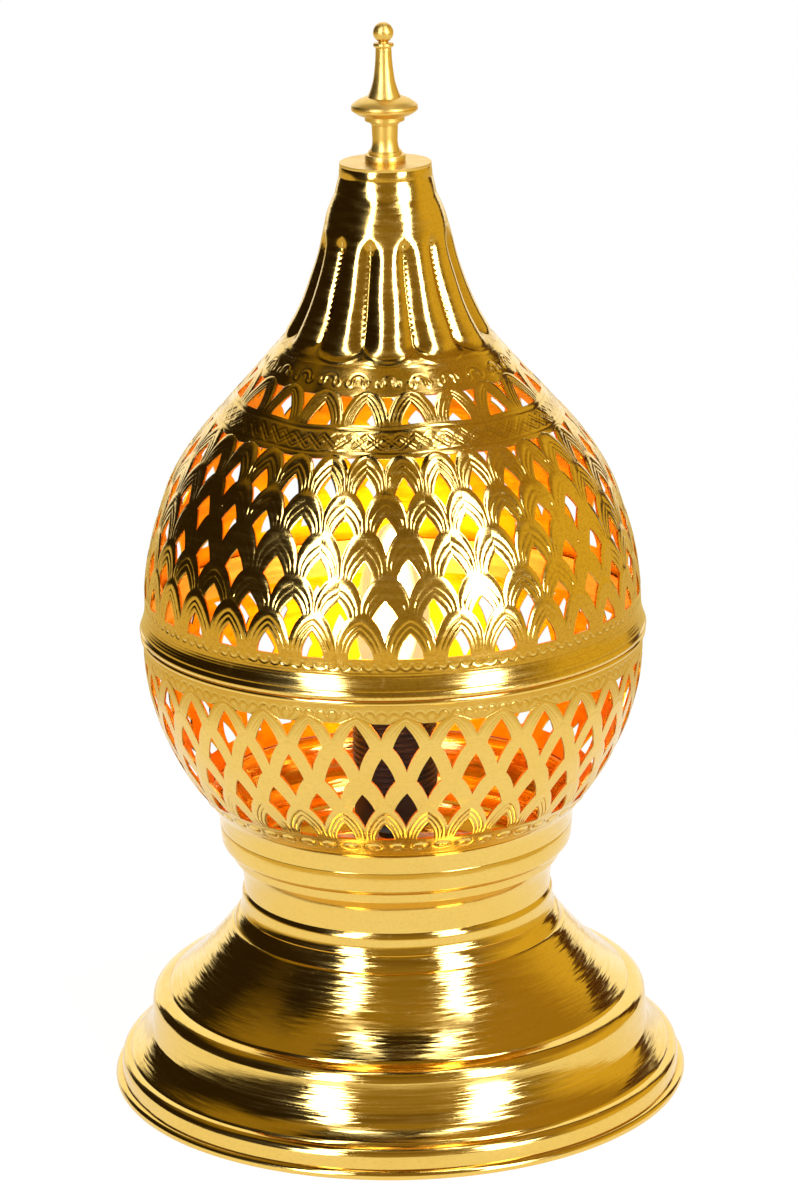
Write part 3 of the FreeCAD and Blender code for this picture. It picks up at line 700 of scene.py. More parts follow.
def make_globe(material):
    """The dome's pierced part: the shoulder's arches, the band of ticks, the scale lattice and the rim."""
    sheet = PiercedSheet(GLOBE, SHEET)
    shoulder = Lattice(sheet, TOP_ARCHES, phase=0.0, line_z=SHOULDER_Z, petals=[(340.4, SHOULDER_Z, 345.9)],
                       foot=(337.4, 5.5), seed=21, strength=[0.7], corner=0.49, arch=(0.1, 3.2), power=1.7)
    shoulder_foot = shoulder.build()
    petals = [(319.4, SCALES_Z, 318.4), (303.3, 312.1, 302.5), (285.5, 296.6, 285.2), (267.0, 277.9, 267.9),
              (248.6, 261.9, 253.0)]
    scales = Lattice(sheet, COLUMNS, phase=LATTICE_TURN, line_z=SCALES_Z, petals=petals, foot=(241.8, 5.35),
                     seed=22, strength=[1.0] * 5, corner=0.455, arch=(0.1, 3.0))
    scales_foot = scales.build()
    motif_low = sheet.line(SHOULDER_Z, TOP_PITCH / 2)
    sheet.rows_between(sheet.edge(motif_low, GLOBE_TOP_Z), motif_low, 24, motif_relief)
    ticks_low = aligned(sheet.line(SCALES_Z, LATTICE_TURN), shoulder_foot, sheet)
    sheet.rows_between(shoulder_foot, ticks_low, 24, ticks_relief)
    rim = sheet.even_edge(scales_foot, DOME_BOTTOM_Z)
    sheet.rows_between(scales_foot, rim, 40, rim_relief, inner_rows=4)
    points, faces, relief = sheet.build(dome_warp)
    return new_piece("dome_globe", points, faces, material, ["upper_dome"], "dome", relief=relief, fix=True)


NECK_TOP_Z = 442.3
CROWN = Profile([(51.6, GLOBE_TOP_Z), (49.8, 361.0), (47.4, 365.0), (44.5, 370.0), (39.4, 380.0),
                 (35.2, 391.0), (31.4, 403.0), (29.3, 412.0), (28.2, 416.0), (26.0, 422.2), (24.0, 427.5),
                 (22.3, 432.5), (21.4, 437.5), (21.0, NECK_TOP_Z)])
CREASE = 0.089            # depth of the creases between flutes, as a share of the radius
BEAD_STEP = 2.4           # from bead to bead in a crease


def smooth(low, high, value):
    """A smooth step from 0 to 1 while the value goes from low to high."""
    t = max(0.0, min(1.0, (value - low) / (high - low)))
    return t * t * (3 - 2 * t)


def lobe_shape(out):
    """Height of a flute's round section at a share of its half width: 1 at the crown, 0 in the crease."""
    if out >= 1.0:
        return 0.0
    centre = 0.708
    angle = math.radians(15.0 * out)
    reach = centre * math.cos(angle) + math.sqrt((1 - centre) ** 2 - (centre * math.sin(angle)) ** 2)
    return max(0.0, (reach - (1 - CREASE)) / CREASE)


def bulge(z, low, high, height):
    """Height of a soft convex band between two levels."""
    out = (2 * z - low - high) / (high - low)
    return height * max(0.0, 1 - out * out)


def neck_radius(turn, z):
    """Radius of the fluted neck, and its relief for the finish."""
    crown = float(CROWN.at(z)[0])
    x, number = wave_turn(turn, FLUTES)
    uneven = hand(number % FLUTES, 9)
    crease = hand(math.floor(turn * FLUTES / 360.0) % FLUTES, 5)
    x += 0.02 * uneven * math.sin(z * 0.13 + number)
    top_z = 413.0 + 1.2 * crease
    dip = CREASE * crown * smooth(361.0, 367.5, z) * (1 - smooth(top_z - 5.0, top_z + 2.0, z))
    low_end = max(0.0, (367.6 - z) / (7.2 + 0.5 * uneven))
    narrow = 1 - 0.3 * smooth(top_z - 9.0, top_z + 1.0, z)
    out = math.hypot(2 * x * narrow, low_end)
    rise = max(dip, 0.75 * smooth(357.0, 365.0, z) * (1 - smooth(366.0, 376.0, z)))
    radius = crown - dip + rise * lobe_shape(out)
    if z < 372.0:
        radius += ridge((out - 1.04) * 7.0, 0.55, 0.32) * (1 - smooth(368.0, 372.0, z))
    radius += bulge(z, 437.6, 442.6, 0.15) + bulge(z, 429.6, 437.6, 0.4) + bulge(z, 416.0, 429.6, 0.5)
    if 369.0 < z < top_z - 2.0:
        beside = (abs(x) - 0.5) * 2 * math.pi * radius / FLUTES
        up = ((z / BEAD_STEP) % 1.0 - 0.5) * BEAD_STEP
        radius += 0.5 * math.exp(-(beside * beside + up * up) / 0.42)
    return radius, (lobe_shape(out) - 1) * 0.2 if 361.0 < z < 414.0 else 0.0


def neck_sway(turn, z):
    """Slow unevenness of the drawn neck, which fades out at both ends."""
    ease = smooth(359.0, 366.0, z) * (1 - smooth(436.0, 442.0, z))
    angle = math.radians(turn)
    return ease * 0.1 * (math.sin(angle * 5 + z * 0.11) + math.sin(angle * 9 - z * 0.2))


def make_neck(material):
    """Fluted neck of the dome with its beaded throat, one sheet drawn thicker."""
    around = 480
    points = []
    relief = []
    rows = []

    def outer_radius(turn):
        radius, depth = neck_radius(turn, z)
        relief.append(depth)
        return radius + neck_sway(turn, z)

    def inner_radius(turn):
        relief.append(INSIDE)
        return neck_radius(turn, z)[0] - NECK_SHEET

    for z in np.linspace(GLOBE_TOP_Z, NECK_TOP_Z, 171):
        rows.append(add_row(points, around, z, outer_radius))
    for z in np.linspace(NECK_TOP_Z, GLOBE_TOP_Z, 15):
        rows.append(add_row(points, around, z, inner_radius))
    return new_piece("dome_neck", points, ring_faces(rows), material, ["upper_dome"], "dome", relief=relief,
                     sharp=50.0)


# ---------------------------------------------------------------- bowl

BOWL_TOP_Z = 221.4
BOWL_LINE_Z = 215.2       # top line of the bowl's lattice
COLLAR_TOP_Z = 141.8
BOWL = Profile([(117.3, BOWL_TOP_Z), (117.1, 212.0), (116.0, 200.0), (113.3, 188.0), (109.2, 176.0),
                (104.2, 165.5), (98.4, 155.0), (93.2, 147.4), (89.0, COLLAR_TOP_Z)])
COINS = 55


def small_arcs_relief(turn, z):
    """Row of small chased arcs over the bowl's lattice."""
    x, number = wave_turn(turn, SCALLOPS)
    uneven = hand(number % SCALLOPS, 4)
    x = x * 360.0 / SCALLOPS * math.radians(117.0)
    y = z - (215.6 + 0.35 * uneven)
    out = math.hypot(x, y)
    if y < -0.3:
        return 0.0
    return groove(out - 2.1, 0.4, 0.13 + 0.06 * uneven) + ridge(out - 1.0, 0.5, 0.04)


def coins_relief(turn, z):
    """Row of hatched oval coins at the foot of the bowl."""
    x, number = wave_turn(turn, COINS)
    x = (x + 0.03 * hand(number % COINS, 6)) * 360.0 / COINS * math.radians(91.5)
    y = (z - 144.9) * 1.26 + 0.3 * hand(number % COINS, 8)
    out = math.hypot(x / 3.5, y / 2.3)
    total = groove((out - 1.08) * 2.6, 0.4, 0.25)
    if out < 1.0:
        total += 0.42 * (1 - out ** 2.5) - 0.12 * (0.5 + 0.5 * math.cos(x * 7.0)) * (1 - out)
    total += groove((z - 148.3) * 1.26, 0.3, 0.12)
    return total


def bowl_warp(turn, z):
    """Hammered swell and the drift of the bowl's rows."""
    swell = swell_of(turn, z, 0.10, 31)
    inside = np.clip((z - 149.2) / 8.0, 0, 1) * np.clip((215.2 - z) / 6.0, 0, 1)
    around = np.radians(turn)
    aside = 0.3 * np.sin(4 * around + 0.04 * z + 2.0) + 0.2 * np.sin(9 * around - 0.09 * z)
    up = 0.35 * np.sin(5 * around + 1.1) + 0.25 * np.sin(13 * around + 0.05 * z)
    fade = np.clip((z - 141.0) / 8.0, 0.1, 1.0) * np.clip((222.5 - z) / 6.0, 0.1, 1.0)
    return swell * fade, aside * inside, up * inside


def make_bowl(material):
    """The bowl: small arcs under its mouth, the lattice and a row of coins."""
    sheet = PiercedSheet(BOWL, SHEET)
    petals = [(203.4, BOWL_LINE_Z, 211.2), (187.0, 202.6, 195.6), (172.0, 184.9, 176.4),
              (155.6, 168.3, 158.9)]
    lattice = Lattice(sheet, COLUMNS, phase=BOWL_TURN, line_z=BOWL_LINE_Z, petals=petals, foot=(149.2, 4.2),
                      seed=23, strength=[0.25, 0.25, 0.4, 1.2], corner=0.41, arch=(0.2, 2.3), bulge=0.42,
                      power=1.8)
    foot = lattice.build()
    arcs_low = sheet.line(BOWL_LINE_Z, BOWL_TURN)
    sheet.rows_between(sheet.edge(arcs_low, BOWL_TOP_Z), arcs_low, 14, small_arcs_relief, inner_rows=2)
    sheet.rows_between(foot, sheet.even_edge(foot, COLLAR_TOP_Z), 18, coins_relief)
    points, faces, relief = sheet.build(bowl_warp)
    return new_piece("bowl_sheet", points, faces, material, ["lower_bowl"], "lantern", relief=relief,
                     fix=True)


def make_bowl_rim(material):
    """The rolled wire edge of the bowl's mouth."""
    steps = 24
    angles = [2 * math.pi * k / steps for k in range(steps)]
    roll = [(117.2 + 1.4 * math.cos(a), 221.8 + 1.4 * math.sin(a)) for a in angles]
    return turned_piece("bowl_rim_roll", roll, material, ["lower_bowl"], "lantern", 384)


# ---------------------------------------------------------------- turned parts

def make_foot(material):
    """Spun foot: its bell, upright wall, ogee, rolled lip and the flange turned in underneath."""
    runs = [
        [(68.0, 95.6), (73.2, 95.6)],
        [(73.9, 94.4), (74.3, 89.6), (75.2, 85.4)],
        [(74.9, 84.8)],
        [(76.3, 83.0), (77.7, 80.6), (78.4, 78.9)],
        [(78.6, 78.2)],
        [(79.4, 77.8)],
        [(85.0, 71.0), (91.0, 64.0), (98.0, 56.8), (105.0, 50.6), (109.8, 46.8)],
        [(110.2, 45.8)],
        [(113.0, 45.3), (115.8, 43.9), (117.6, 41.8), (118.3, 39.6)],
        [(118.9, 25.6)],
        [(121.4, 22.0), (124.6, 18.6), (129.3, 15.2)],
        [(129.8, 14.2)],
        [(131.9, 13.4), (133.5, 11.9), (134.1, 10.0)],
        [(134.5, 4.5)],
        [(136.4, 3.9), (137.4, 2.2), (136.9, 0.4)],
        [(136.2, 0.0)],
        [(127.0, 0.0)],
        [(127.0, 1.2)],
        [(133.2, 1.2)],
        [(132.8, 9.9)],
        [(128.8, 13.6)],
        [(123.6, 17.6)],
        [(117.7, 25.2)],
        [(117.1, 39.2)],
        [(115.2, 42.6), (109.2, 45.6)],
        [(104.2, 49.6), (97.1, 55.8), (90.1, 63.1), (84.1, 70.1), (77.2, 78.4)],
        [(73.2, 85.6)],
        [(72.6, 94.4)],
        [(68.0, 94.4)]]
    return turned_piece("foot_spun", outline(*runs), material, ["foot"], "lantern", 384, spun(0.12, 1))


def make_collar(material):
    """Convex moulding between the bowl and the sleeve, with its inner flange."""
    runs = [
        [(89.0, 141.8), (86.9, 139.4), (85.2, 136.0), (84.2, 131.8)],
        [(84.0, 129.1)],
        [(83.88, 128.8)],
        [(83.97, 128.5)],
        [(83.4, 121.6)],
        [(82.8, 119.2), (81.4, 117.6)],
        [(79.7, 117.0)],
        [(79.4, 115.4)],
        [(78.4, 112.6)],
        [(66.0, 112.6)],
        [(66.0, 113.8)],
        [(77.6, 113.8)],
        [(78.4, 118.2)],
        [(82.1, 121.8)],
        [(82.9, 131.8)],
        [(83.9, 136.4), (85.4, 139.8), (87.8, 141.8)]]
    return turned_piece("collar_spun", outline(*runs), material, ["collar"], "lantern", 320, spun(0.08, 2))


def make_sleeve(material):
    outer = spline([(76.8, 112.6), (74.8, 108.0), (73.5, 102.0), (73.1, 95.6)])
    inner = [(r - FOOT_SHEET, z) for r, z in outer[::-1]]
    return turned_piece("neck_sleeve_spun", outer + inner, material, ["neck_sleeve"], "lantern", 320,
                        spun(0.06, 3))


# ---------------------------------------------------------------- cap and finial

STUD_HOLE_R = 2.1
CAP_TOP_Z = 443.6
PLINTH_TOP_Z = 449.0
COLUMN_TOP_Z = 464.8
DISC_TOP_Z = 473.4


def make_cap(material):
    cap = [(STUD_HOLE_R, NECK_TOP_Z), (21.0, NECK_TOP_Z), (21.1, 442.45), (21.1, 443.4), (20.9, CAP_TOP_Z),
           (STUD_HOLE_R, CAP_TOP_Z)]
    turned_piece("top_cap_disc", cap, material, ["top_cap"], "dome", 192)


def make_plinth(material):
    plinth = [(STUD_HOLE_R, CAP_TOP_Z), (9.2, CAP_TOP_Z), (9.35, 443.8), (9.35, 444.4), (9.05, 444.6),
              (9.35, 444.8), (9.35, 446.6), (9.2, 447.0), (8.8, 447.2), (7.6, 447.3), (7.6, 448.7),
              (7.3, PLINTH_TOP_Z), (STUD_HOLE_R, PLINTH_TOP_Z)]
    turned_piece("finial_plinth_turned", plinth, material, ["finial_plinth"], "dome", 128)


def make_column(material):
    column = outline(
        [(STUD_HOLE_R, PLINTH_TOP_Z), (6.8, PLINTH_TOP_Z)], [(6.0, 451.4), (5.85, 456.0), (6.0, 460.8)],
        [(6.45, 461.0)], [(6.6, 461.2)], [(6.6, 462.4)], [(8.9, 462.55)], [(9.1, 462.8)], [(9.1, 464.6)],
        [(8.9, COLUMN_TOP_Z)], [(STUD_HOLE_R, COLUMN_TOP_Z)], step=0.4)
    turned_piece("finial_column_turned", column, material, ["finial_column"], "dome", 128)


def make_disc(material):
    disc = outline(
        [(STUD_HOLE_R, COLUMN_TOP_Z), (10.0, COLUMN_TOP_Z)], [(12.6, 465.7), (14.7, 467.2)], [(15.1, 467.5)],
        [(15.2, 467.8)], [(15.2, 468.5)], [(14.9, 468.7)], [(15.2, 468.9)], [(15.2, 469.4)], [(15.0, 469.8)],
        [(14.6, 470.2)], [(12.0, 472.0), (8.6, DISC_TOP_Z)], [(STUD_HOLE_R, DISC_TOP_Z)], step=0.4)
    turned_piece("finial_disc_turned", disc, material, ["finial_disc"], "dome", 160)


def make_spire(material):
    """Waisted spire with its thin ring and the ball on top."""
    ball_z = 502.75
    ball_r = 4.65
    neck_r = 2.2
    start = math.asin(-math.sqrt(ball_r ** 2 - neck_r ** 2) / ball_r)
    ball = [(ball_r * math.cos(a), ball_z + ball_r * math.sin(a))
            for a in (start + (math.pi / 2 - start) * k / 32 for k in range(32))]
    spire = outline(
        [(0.0, 483.0), (STUD_HOLE_R, 483.0)], [(STUD_HOLE_R, DISC_TOP_Z)], [(7.6, DISC_TOP_Z)],
        [(6.35, 476.4), (5.0, 480.9), (4.3, 485.5), (3.85, 490.1), (3.6, 495.9)], [(4.3, 496.2)],
        [(4.75, 497.1), (4.3, 498.0)], [(neck_r, 498.2)], step=0.5) + ball + [(0.0, 507.4)]
    turned_piece("finial_spire_turned", spire, material, ["finial_spire"], "dome", 96)


# ---------------------------------------------------------------- lampholder and lamp

def make_holder_skirt(material):
    """Skirt with a helical outer thread between a plain foot and a plain collar."""
    around = 120
    low_z = 144.4
    pitch = 2.9
    high_z = low_z + 12 * pitch
    root = 19.1
    points = []

    def thread_radius(turn):
        phase = ((z - low_z) / pitch - turn / 360.0) % 1.0
        ease = smooth(low_z, low_z + 0.8, z) * (1 - smooth(high_z + 0.2, high_z + 1.6, z))
        return root + 0.9 * ease * max(0.0, min(1.0, 1.9 - 4.4 * abs(phase - 0.5)))

    rows = [add_row(points, around, z, lambda turn: 19.8) for z in (142.4, 143.8)]
    for z in np.linspace(low_z, high_z + 2.0, 133):
        rows.append(add_row(points, around, z, thread_radius))
    plain = [(20.6, 183.7), (20.6, 193.8), (20.3, 194.4), (19.6, 195.0), (15.8, 195.0), (15.2, 194.2),
             (15.2, 146.4), (17.7, 146.4), (17.7, 142.4)]
    for radius, z in plain:
        rows.append(add_row(points, around, z, lambda turn: radius))
    new_piece("holder_skirt_threaded", points, ring_faces(rows), material, ["holder_skirt"], "lantern")


def make_holder_cap(material):
    cap = outline(
        [(5.0, 118.8), (8.6, 118.8)], [(8.8, 122.4)], [(15.4, 124.4), (19.0, 128.6), (19.6, 133.0)],
        [(19.6, 142.2)], [(19.4, 142.4)], [(16.2, 142.4)], [(16.2, 131.0)], [(8.6, 126.8)], [(5.0, 126.8)])
    turned_piece("holder_cap_domed", cap, material, ["holder_cap"], "lantern", 128)


def make_lamp_glass(material):
    """Candle-shaped bulb, open at its neck."""
    outer = spline([(12.3, 194.6), (12.7, 199.4), (15.2, 207.0), (17.1, 215.6), (17.5, 224.0),
                    (16.7, 235.0), (13.9, 249.0), (9.4, 262.0), (5.0, 269.6), (0.0, 273.2)], 1.0)
    inner = spline([(11.5, 194.6), (11.9, 199.4), (14.4, 207.3), (16.3, 215.8), (16.7, 224.0),
                    (15.9, 234.8), (13.1, 248.7), (8.7, 261.4), (4.4, 268.6), (0.0, 272.0)], 1.5)
    turned_piece("lamp_bulb", outer + inner[::-1], material, ["lamp_glass"], "lamp", 96, sharp=60.0)


# ---------------------------------------------------------------- shader helpers

class Nodes:
    """The nodes of a material or a world, with short ways to add and join them."""

    def __init__(self, owner):
        owner.use_nodes = True
        self.nodes = owner.node_tree.nodes
        self.links = owner.node_tree.links
        self.nodes.clear()

    def put(self, socket, value):
        """Links a socket to another one, or gives it a plain value."""
        if isinstance(value, bpy.types.NodeSocket):
            self.links.new(value, socket)
        else:
            socket.default_value = value

    def math(self, operation, a, b=None, clamp=False):
        node = self.nodes.new("ShaderNodeMath")
        node.operation = operation
        node.use_clamp = clamp
        self.put(node.inputs[0], a)
        if b is not None:
            self.put(node.inputs[1], b)
        return node.outputs[0]

    def times(self, a, b):
        return self.math("MULTIPLY", a, b)

    def noise(self, vector, scale, detail=3.0, roughness=0.6):
        node = self.nodes.new("ShaderNodeTexNoise")
        self.put(node.inputs["Vector"], vector)
        node.inputs["Scale"].default_value = scale
        node.inputs["Detail"].default_value = detail
        node.inputs["Roughness"].default_value = roughness
        return node.outputs["Fac"]

    def ramp(self, value, low, high, to_low, to_high):
        """A smooth step from one number to another while the value goes from low to high."""
        node = self.nodes.new("ShaderNodeMapRange")
        node.interpolation_type = "SMOOTHSTEP"
        self.put(node.inputs["Value"], value)
        self.put(node.inputs["From Min"], low)
        self.put(node.inputs["From Max"], high)
        self.put(node.inputs["To Min"], to_low)
        self.put(node.inputs["To Max"], to_high)
        return node.outputs["Result"]

    def mix(self, factor, a, b):
        node = self.nodes.new("ShaderNodeMix")
        node.data_type = "RGBA"
        self.put(node.inputs["Factor"], factor)
        self.put(node.inputs["A"], a)
        self.put(node.inputs["B"], b)
        return node.outputs["Result"]

    def separate(self, vector):
        parts = self.nodes.new("ShaderNodeSeparateXYZ")
        self.put(parts.inputs[0], vector)
        return parts.outputs[0], parts.outputs[1], parts.outputs[2]

    def combine(self, *values):
        joined = self.nodes.new("ShaderNodeCombineXYZ")
        for socket, value in zip(joined.inputs, values):
            self.put(socket, value)
        return joined.outputs[0]


class Shader(Nodes):
    """A material and its nodes."""

    def __init__(self, name):
        self.material = bpy.data.materials.new(name)
        super().__init__(self.material)
        self.output = self.nodes.new("ShaderNodeOutputMaterial")

    def coords(self):
        return self.nodes.new("ShaderNodeTexCoord").outputs["Object"]

    def place(self):
        """The object's coordinates x, y and z, and the distance from the Z axis, never quite zero."""
        x, y, z = self.separate(self.coords())
        radius = self.math("SQRT", self.math("ADD", self.times(x, x), self.times(y, y)))
        return x, y, z, self.math("MAXIMUM", radius, 0.0005)

    def around(self, around_scale, up_scale):
        """Coordinates drawn out around the Z axis, without a seam."""
        x, y, z, radius = self.place()
        return self.combine(self.times(self.math("DIVIDE", x, radius), around_scale),
                            self.times(self.math("DIVIDE", y, radius), around_scale),
                            self.times(z, up_scale))

    def sway(self, vector, amount):
        """The surface's normal turned a little around the Z axis, line by line, as a turning tool leaves
        it."""
        x, y, _, radius = self.place()
        shift = self.times(self.math("SUBTRACT", self.noise(vector, 1.0), 0.5), amount)
        shift = self.math("DIVIDE", shift, radius)
        total = self.nodes.new("ShaderNodeVectorMath")
        total.operation = "ADD"
        self.put(total.inputs[0], self.nodes.new("ShaderNodeNewGeometry").outputs["Normal"])
        self.put(total.inputs[1], self.combine(self.times(self.times(y, -1.0), shift),
                                               self.times(x, shift)))
        unit = self.nodes.new("ShaderNodeVectorMath")
        unit.operation = "NORMALIZE"
        self.put(unit.inputs[0], total.outputs[0])
        return unit.outputs[0]

    def bump(self, height, strength, distance, normal=None):
        node = self.nodes.new("ShaderNodeBump")
        node.inputs["Strength"].default_value = strength
        node.inputs["Distance"].default_value = distance
        self.put(node.inputs["Height"], height)
        if normal is not None:
            self.put(node.inputs["Normal"], normal)
        return node.outputs["Normal"]

    def emission(self, colour, strength):
        node = self.nodes.new("ShaderNodeEmission")
        self.put(node.inputs["Color"], colour)
        node.inputs["Strength"].default_value = strength
        return node.outputs[0]

    def added(self, a, b):
        node = self.nodes.new("ShaderNodeAddShader")
        self.put(node.inputs[0], a)
        self.put(node.inputs[1], b)
        return node.outputs[0]

    def surface(self, shader):
        """The finished material with this shader on its surface."""
        self.put(self.output.inputs[0], shader)
        return self.material

    def principled(self, **values):
        """The finished material with one principled shader."""
        node = self.nodes.new("ShaderNodeBsdfPrincipled")
        for name, value in values.items():
            self.put(node.inputs[name.replace("_", " ")], value)
        return self.surface(node.outputs[0])


BRASS = (0.80, 0.545, 0.125, 1.0)
BRASS_DEEP = (0.76, 0.48, 0.085, 1.0)
PATINA = (0.36, 0.20, 0.03, 1.0)
# Painted lamp glow for the sheets' inner faces, and a version of it darkened by painted shade
LAMPLIT_AMBER = (0.86, 0.46, 0.006, 1.0)
LAMPLIT_AMBER_SHADED = (0.70, 0.25, 0.002, 1.0)


def brass(name, rough, streak, streak_bump=0.25, wave=0.3, fine=420.0, relief=False, deepen=0.35,
          sway=0.1, grain=0.1):
    """Polished brass with turning lines drawn around the axis, slow unevenness and a little tarnish. With
    relief, low places are darker, and the inner faces of a sheet get a painted amber lamp glow, with painted
    shade that makes it deeper lower down."""
    s = Shader(name)
    coords = s.coords()
    lines = s.noise(s.around(2.2, fine), 1.0, 4.0, 0.65)
    wide_lines = s.noise(s.around(5.0, fine * 0.28), 1.0)
    broken_lines = s.noise(s.around(60.0, 900.0), 1.0, 3.0, 0.7)
    cloud = s.noise(coords, 26.0)
    spots = s.noise(coords, 160.0)
    colour = s.mix(s.ramp(cloud, 0.35, 0.7, 0.0, deepen), BRASS, BRASS_DEEP)
    colour = s.mix(s.ramp(broken_lines, 0.42, 0.72, 0.0, grain), colour, PATINA)
    roughness = s.ramp(lines, 0.3, 0.75, rough, rough + streak)
    roughness = s.math("ADD", roughness, s.ramp(cloud, 0.4, 0.75, 0.0, 0.05))
    roughness = s.math("ADD", roughness, s.ramp(spots, 0.62, 0.75, 0.0, 0.08), clamp=True)
    if relief:
        layer = s.nodes.new("ShaderNodeAttribute")
        layer.attribute_name = "relief"
        depth = layer.outputs["Fac"]
        worn = s.times(s.ramp(depth, 0.03, -0.16, 0.0, 0.45), s.ramp(spots, 0.3, 0.7, 0.5, 1.0))
        colour = s.mix(worn, colour, PATINA)
        # Inner faces: a painted amber lamp glow replaces the brass colour, and painted shade deepens it from
        # z 0.25 m down to 0.16 m and along wide streaks
        inside = s.ramp(depth, -1.0, -3.5, 0.0, 1.0)
        low = s.ramp(s.place()[2], 0.16, 0.25, 0.85, 0.15)
        painted_shade_inside = s.math("ADD", low, s.ramp(wide_lines, 0.4, 0.62, -0.15, 0.4), clamp=True)
        colour = s.mix(inside, colour, s.mix(painted_shade_inside, LAMPLIT_AMBER, LAMPLIT_AMBER_SHADED))
        roughness = s.math("ADD", roughness, s.times(inside, 0.2), clamp=True)
    normal = s.sway(s.around(5.0, 1500.0), sway)
    height = s.math("ADD", s.times(lines, 0.35), s.times(wide_lines, 0.65))
    normal = s.bump(height, streak_bump, 0.00012, normal)
    normal = s.bump(s.noise(coords, 38.0, 2.0, 0.5), wave, 0.0006, normal)
    return s.principled(Base_Color=colour, Metallic=1.0, Roughness=roughness, Normal=normal)


def black_plastic():
    s = Shader("black_bakelite")
    coords = s.coords()
    grain = s.noise(coords, 900.0)
    cloud = s.ramp(s.noise(coords, 60.0), 0.35, 0.7, 0.0, 1.0)
    colour = s.mix(cloud, (0.012, 0.011, 0.010, 1.0), (0.026, 0.022, 0.018, 1.0))
    return s.principled(Base_Color=colour, Roughness=s.ramp(grain, 0.3, 0.7, 0.34, 0.5),
                        Specular_IOR_Level=0.2, Normal=s.bump(grain, 0.15, 0.0001))


def white_ceramic():
    s = Shader("white_glaze")
    cloud = s.noise(s.coords(), 120.0)
    colour = s.mix(cloud, (0.80, 0.78, 0.72, 1.0), (0.88, 0.86, 0.81, 1.0))
    return s.principled(Base_Color=colour, Roughness=s.ramp(cloud, 0.3, 0.7, 0.18, 0.3), Coat_Weight=0.3)


def grey_metal(name, colour_a, colour_b, rough):
    """Plain grey or yellowish metal with fine lines around the axis."""
    s = Shader(name)
    lines = s.noise(s.around(3.0, 900.0), 1.0)
    cloud = s.ramp(s.noise(s.coords(), 90.0), 0.35, 0.7, 0.0, 1.0)
    return s.principled(Base_Color=s.mix(cloud, colour_a, colour_b), Metallic=1.0,
                        Roughness=s.ramp(lines, 0.3, 0.7, rough, rough + 0.14),
                        Normal=s.bump(lines, 0.15, 0.0001))


def black_rubber():
    s = Shader("black_rubber")
    grain = s.noise(s.coords(), 1400.0)
    colour = s.mix(grain, (0.010, 0.010, 0.010, 1.0), (0.030, 0.029, 0.028, 1.0))
    return s.principled(Base_Color=colour, Roughness=s.ramp(grain, 0.3, 0.7, 0.5, 0.7),
                        Normal=s.bump(grain, 0.3, 0.0001))


def black_glass():
    s = Shader("black_glass")
    cloud = s.noise(s.coords(), 400.0, 2.0, 0.5)
    colour = s.mix(cloud, (0.006, 0.006, 0.008, 1.0), (0.02, 0.02, 0.024, 1.0))
    return s.principled(Base_Color=colour, Roughness=s.ramp(cloud, 0.3, 0.7, 0.06, 0.16))


def clear_glass():
    """Thin glass of the lit lamp: it lets light through, glows a little and mirrors at grazing angles."""
    s = Shader("lamp_glass_clear")
    cloud = s.noise(s.coords(), 50.0, 2.0, 0.5)
    through = s.nodes.new("ShaderNodeBsdfTransparent")
    s.put(through.inputs["Color"], s.mix(cloud, (0.99, 0.98, 0.95, 1.0), (0.96, 0.95, 0.91, 1.0)))
    gloss = s.nodes.new("ShaderNodeBsdfGlossy")
    s.put(gloss.inputs["Roughness"], s.ramp(cloud, 0.3, 0.7, 0.01, 0.04))
    fresnel = s.nodes.new("ShaderNodeFresnel")
    fresnel.inputs["IOR"].default_value = 1.45
    lit = s.added(through.outputs[0], s.emission((1.0, 0.74, 0.30, 1.0), 0.9))
    mix = s.nodes.new("ShaderNodeMixShader")
    for socket, value in zip(mix.inputs, (fresnel.outputs[0], lit, gloss.outputs[0])):
        s.put(socket, value)
    return s.surface(mix.outputs[0])


def lit_filament(strength):
    s = Shader("filament_lit")
    cloud = s.noise(s.coords(), 700.0, 2.0, 0.5)
    return s.surface(s.emission(s.mix(cloud, (1.0, 0.80, 0.45, 1.0), (1.0, 0.70, 0.32, 1.0)), strength))


def paint(node, material):
    """Gives a kept CAD node its material."""
    mesh = frame["nodes"][node].data
    mesh.materials.clear()
    mesh.materials.append(material)


# ---------------------------------------------------------------- studio

def make_floor():
    """Pale round floor, a little brighter than the light that reaches it."""
    around = 96
    radius = 0.5
    level = -0.0002
    angles = [2 * math.pi * k / around for k in range(around)]
    points = [(0.0, 0.0, level)] + [(radius * math.cos(a), radius * math.sin(a), level) for a in angles]
    faces = [(0, 1 + k, 1 + (k + 1) % around) for k in range(around)]
    mesh = bpy.data.meshes.new("floor")
    mesh.from_pydata(points, [], faces)
    s = Shader("floor_pale")
    soft = s.nodes.new("ShaderNodeBsdfDiffuse")
    soft.inputs["Color"].default_value = (0.2, 0.2, 0.2, 1.0)
    mesh.materials.append(s.surface(s.added(soft.outputs[0], s.emission((1.0, 0.985, 0.96, 1.0), 0.88))))
    floor = bpy.data.objects.new("floor", mesh)
    bpy.context.scene.collection.objects.link(floor)


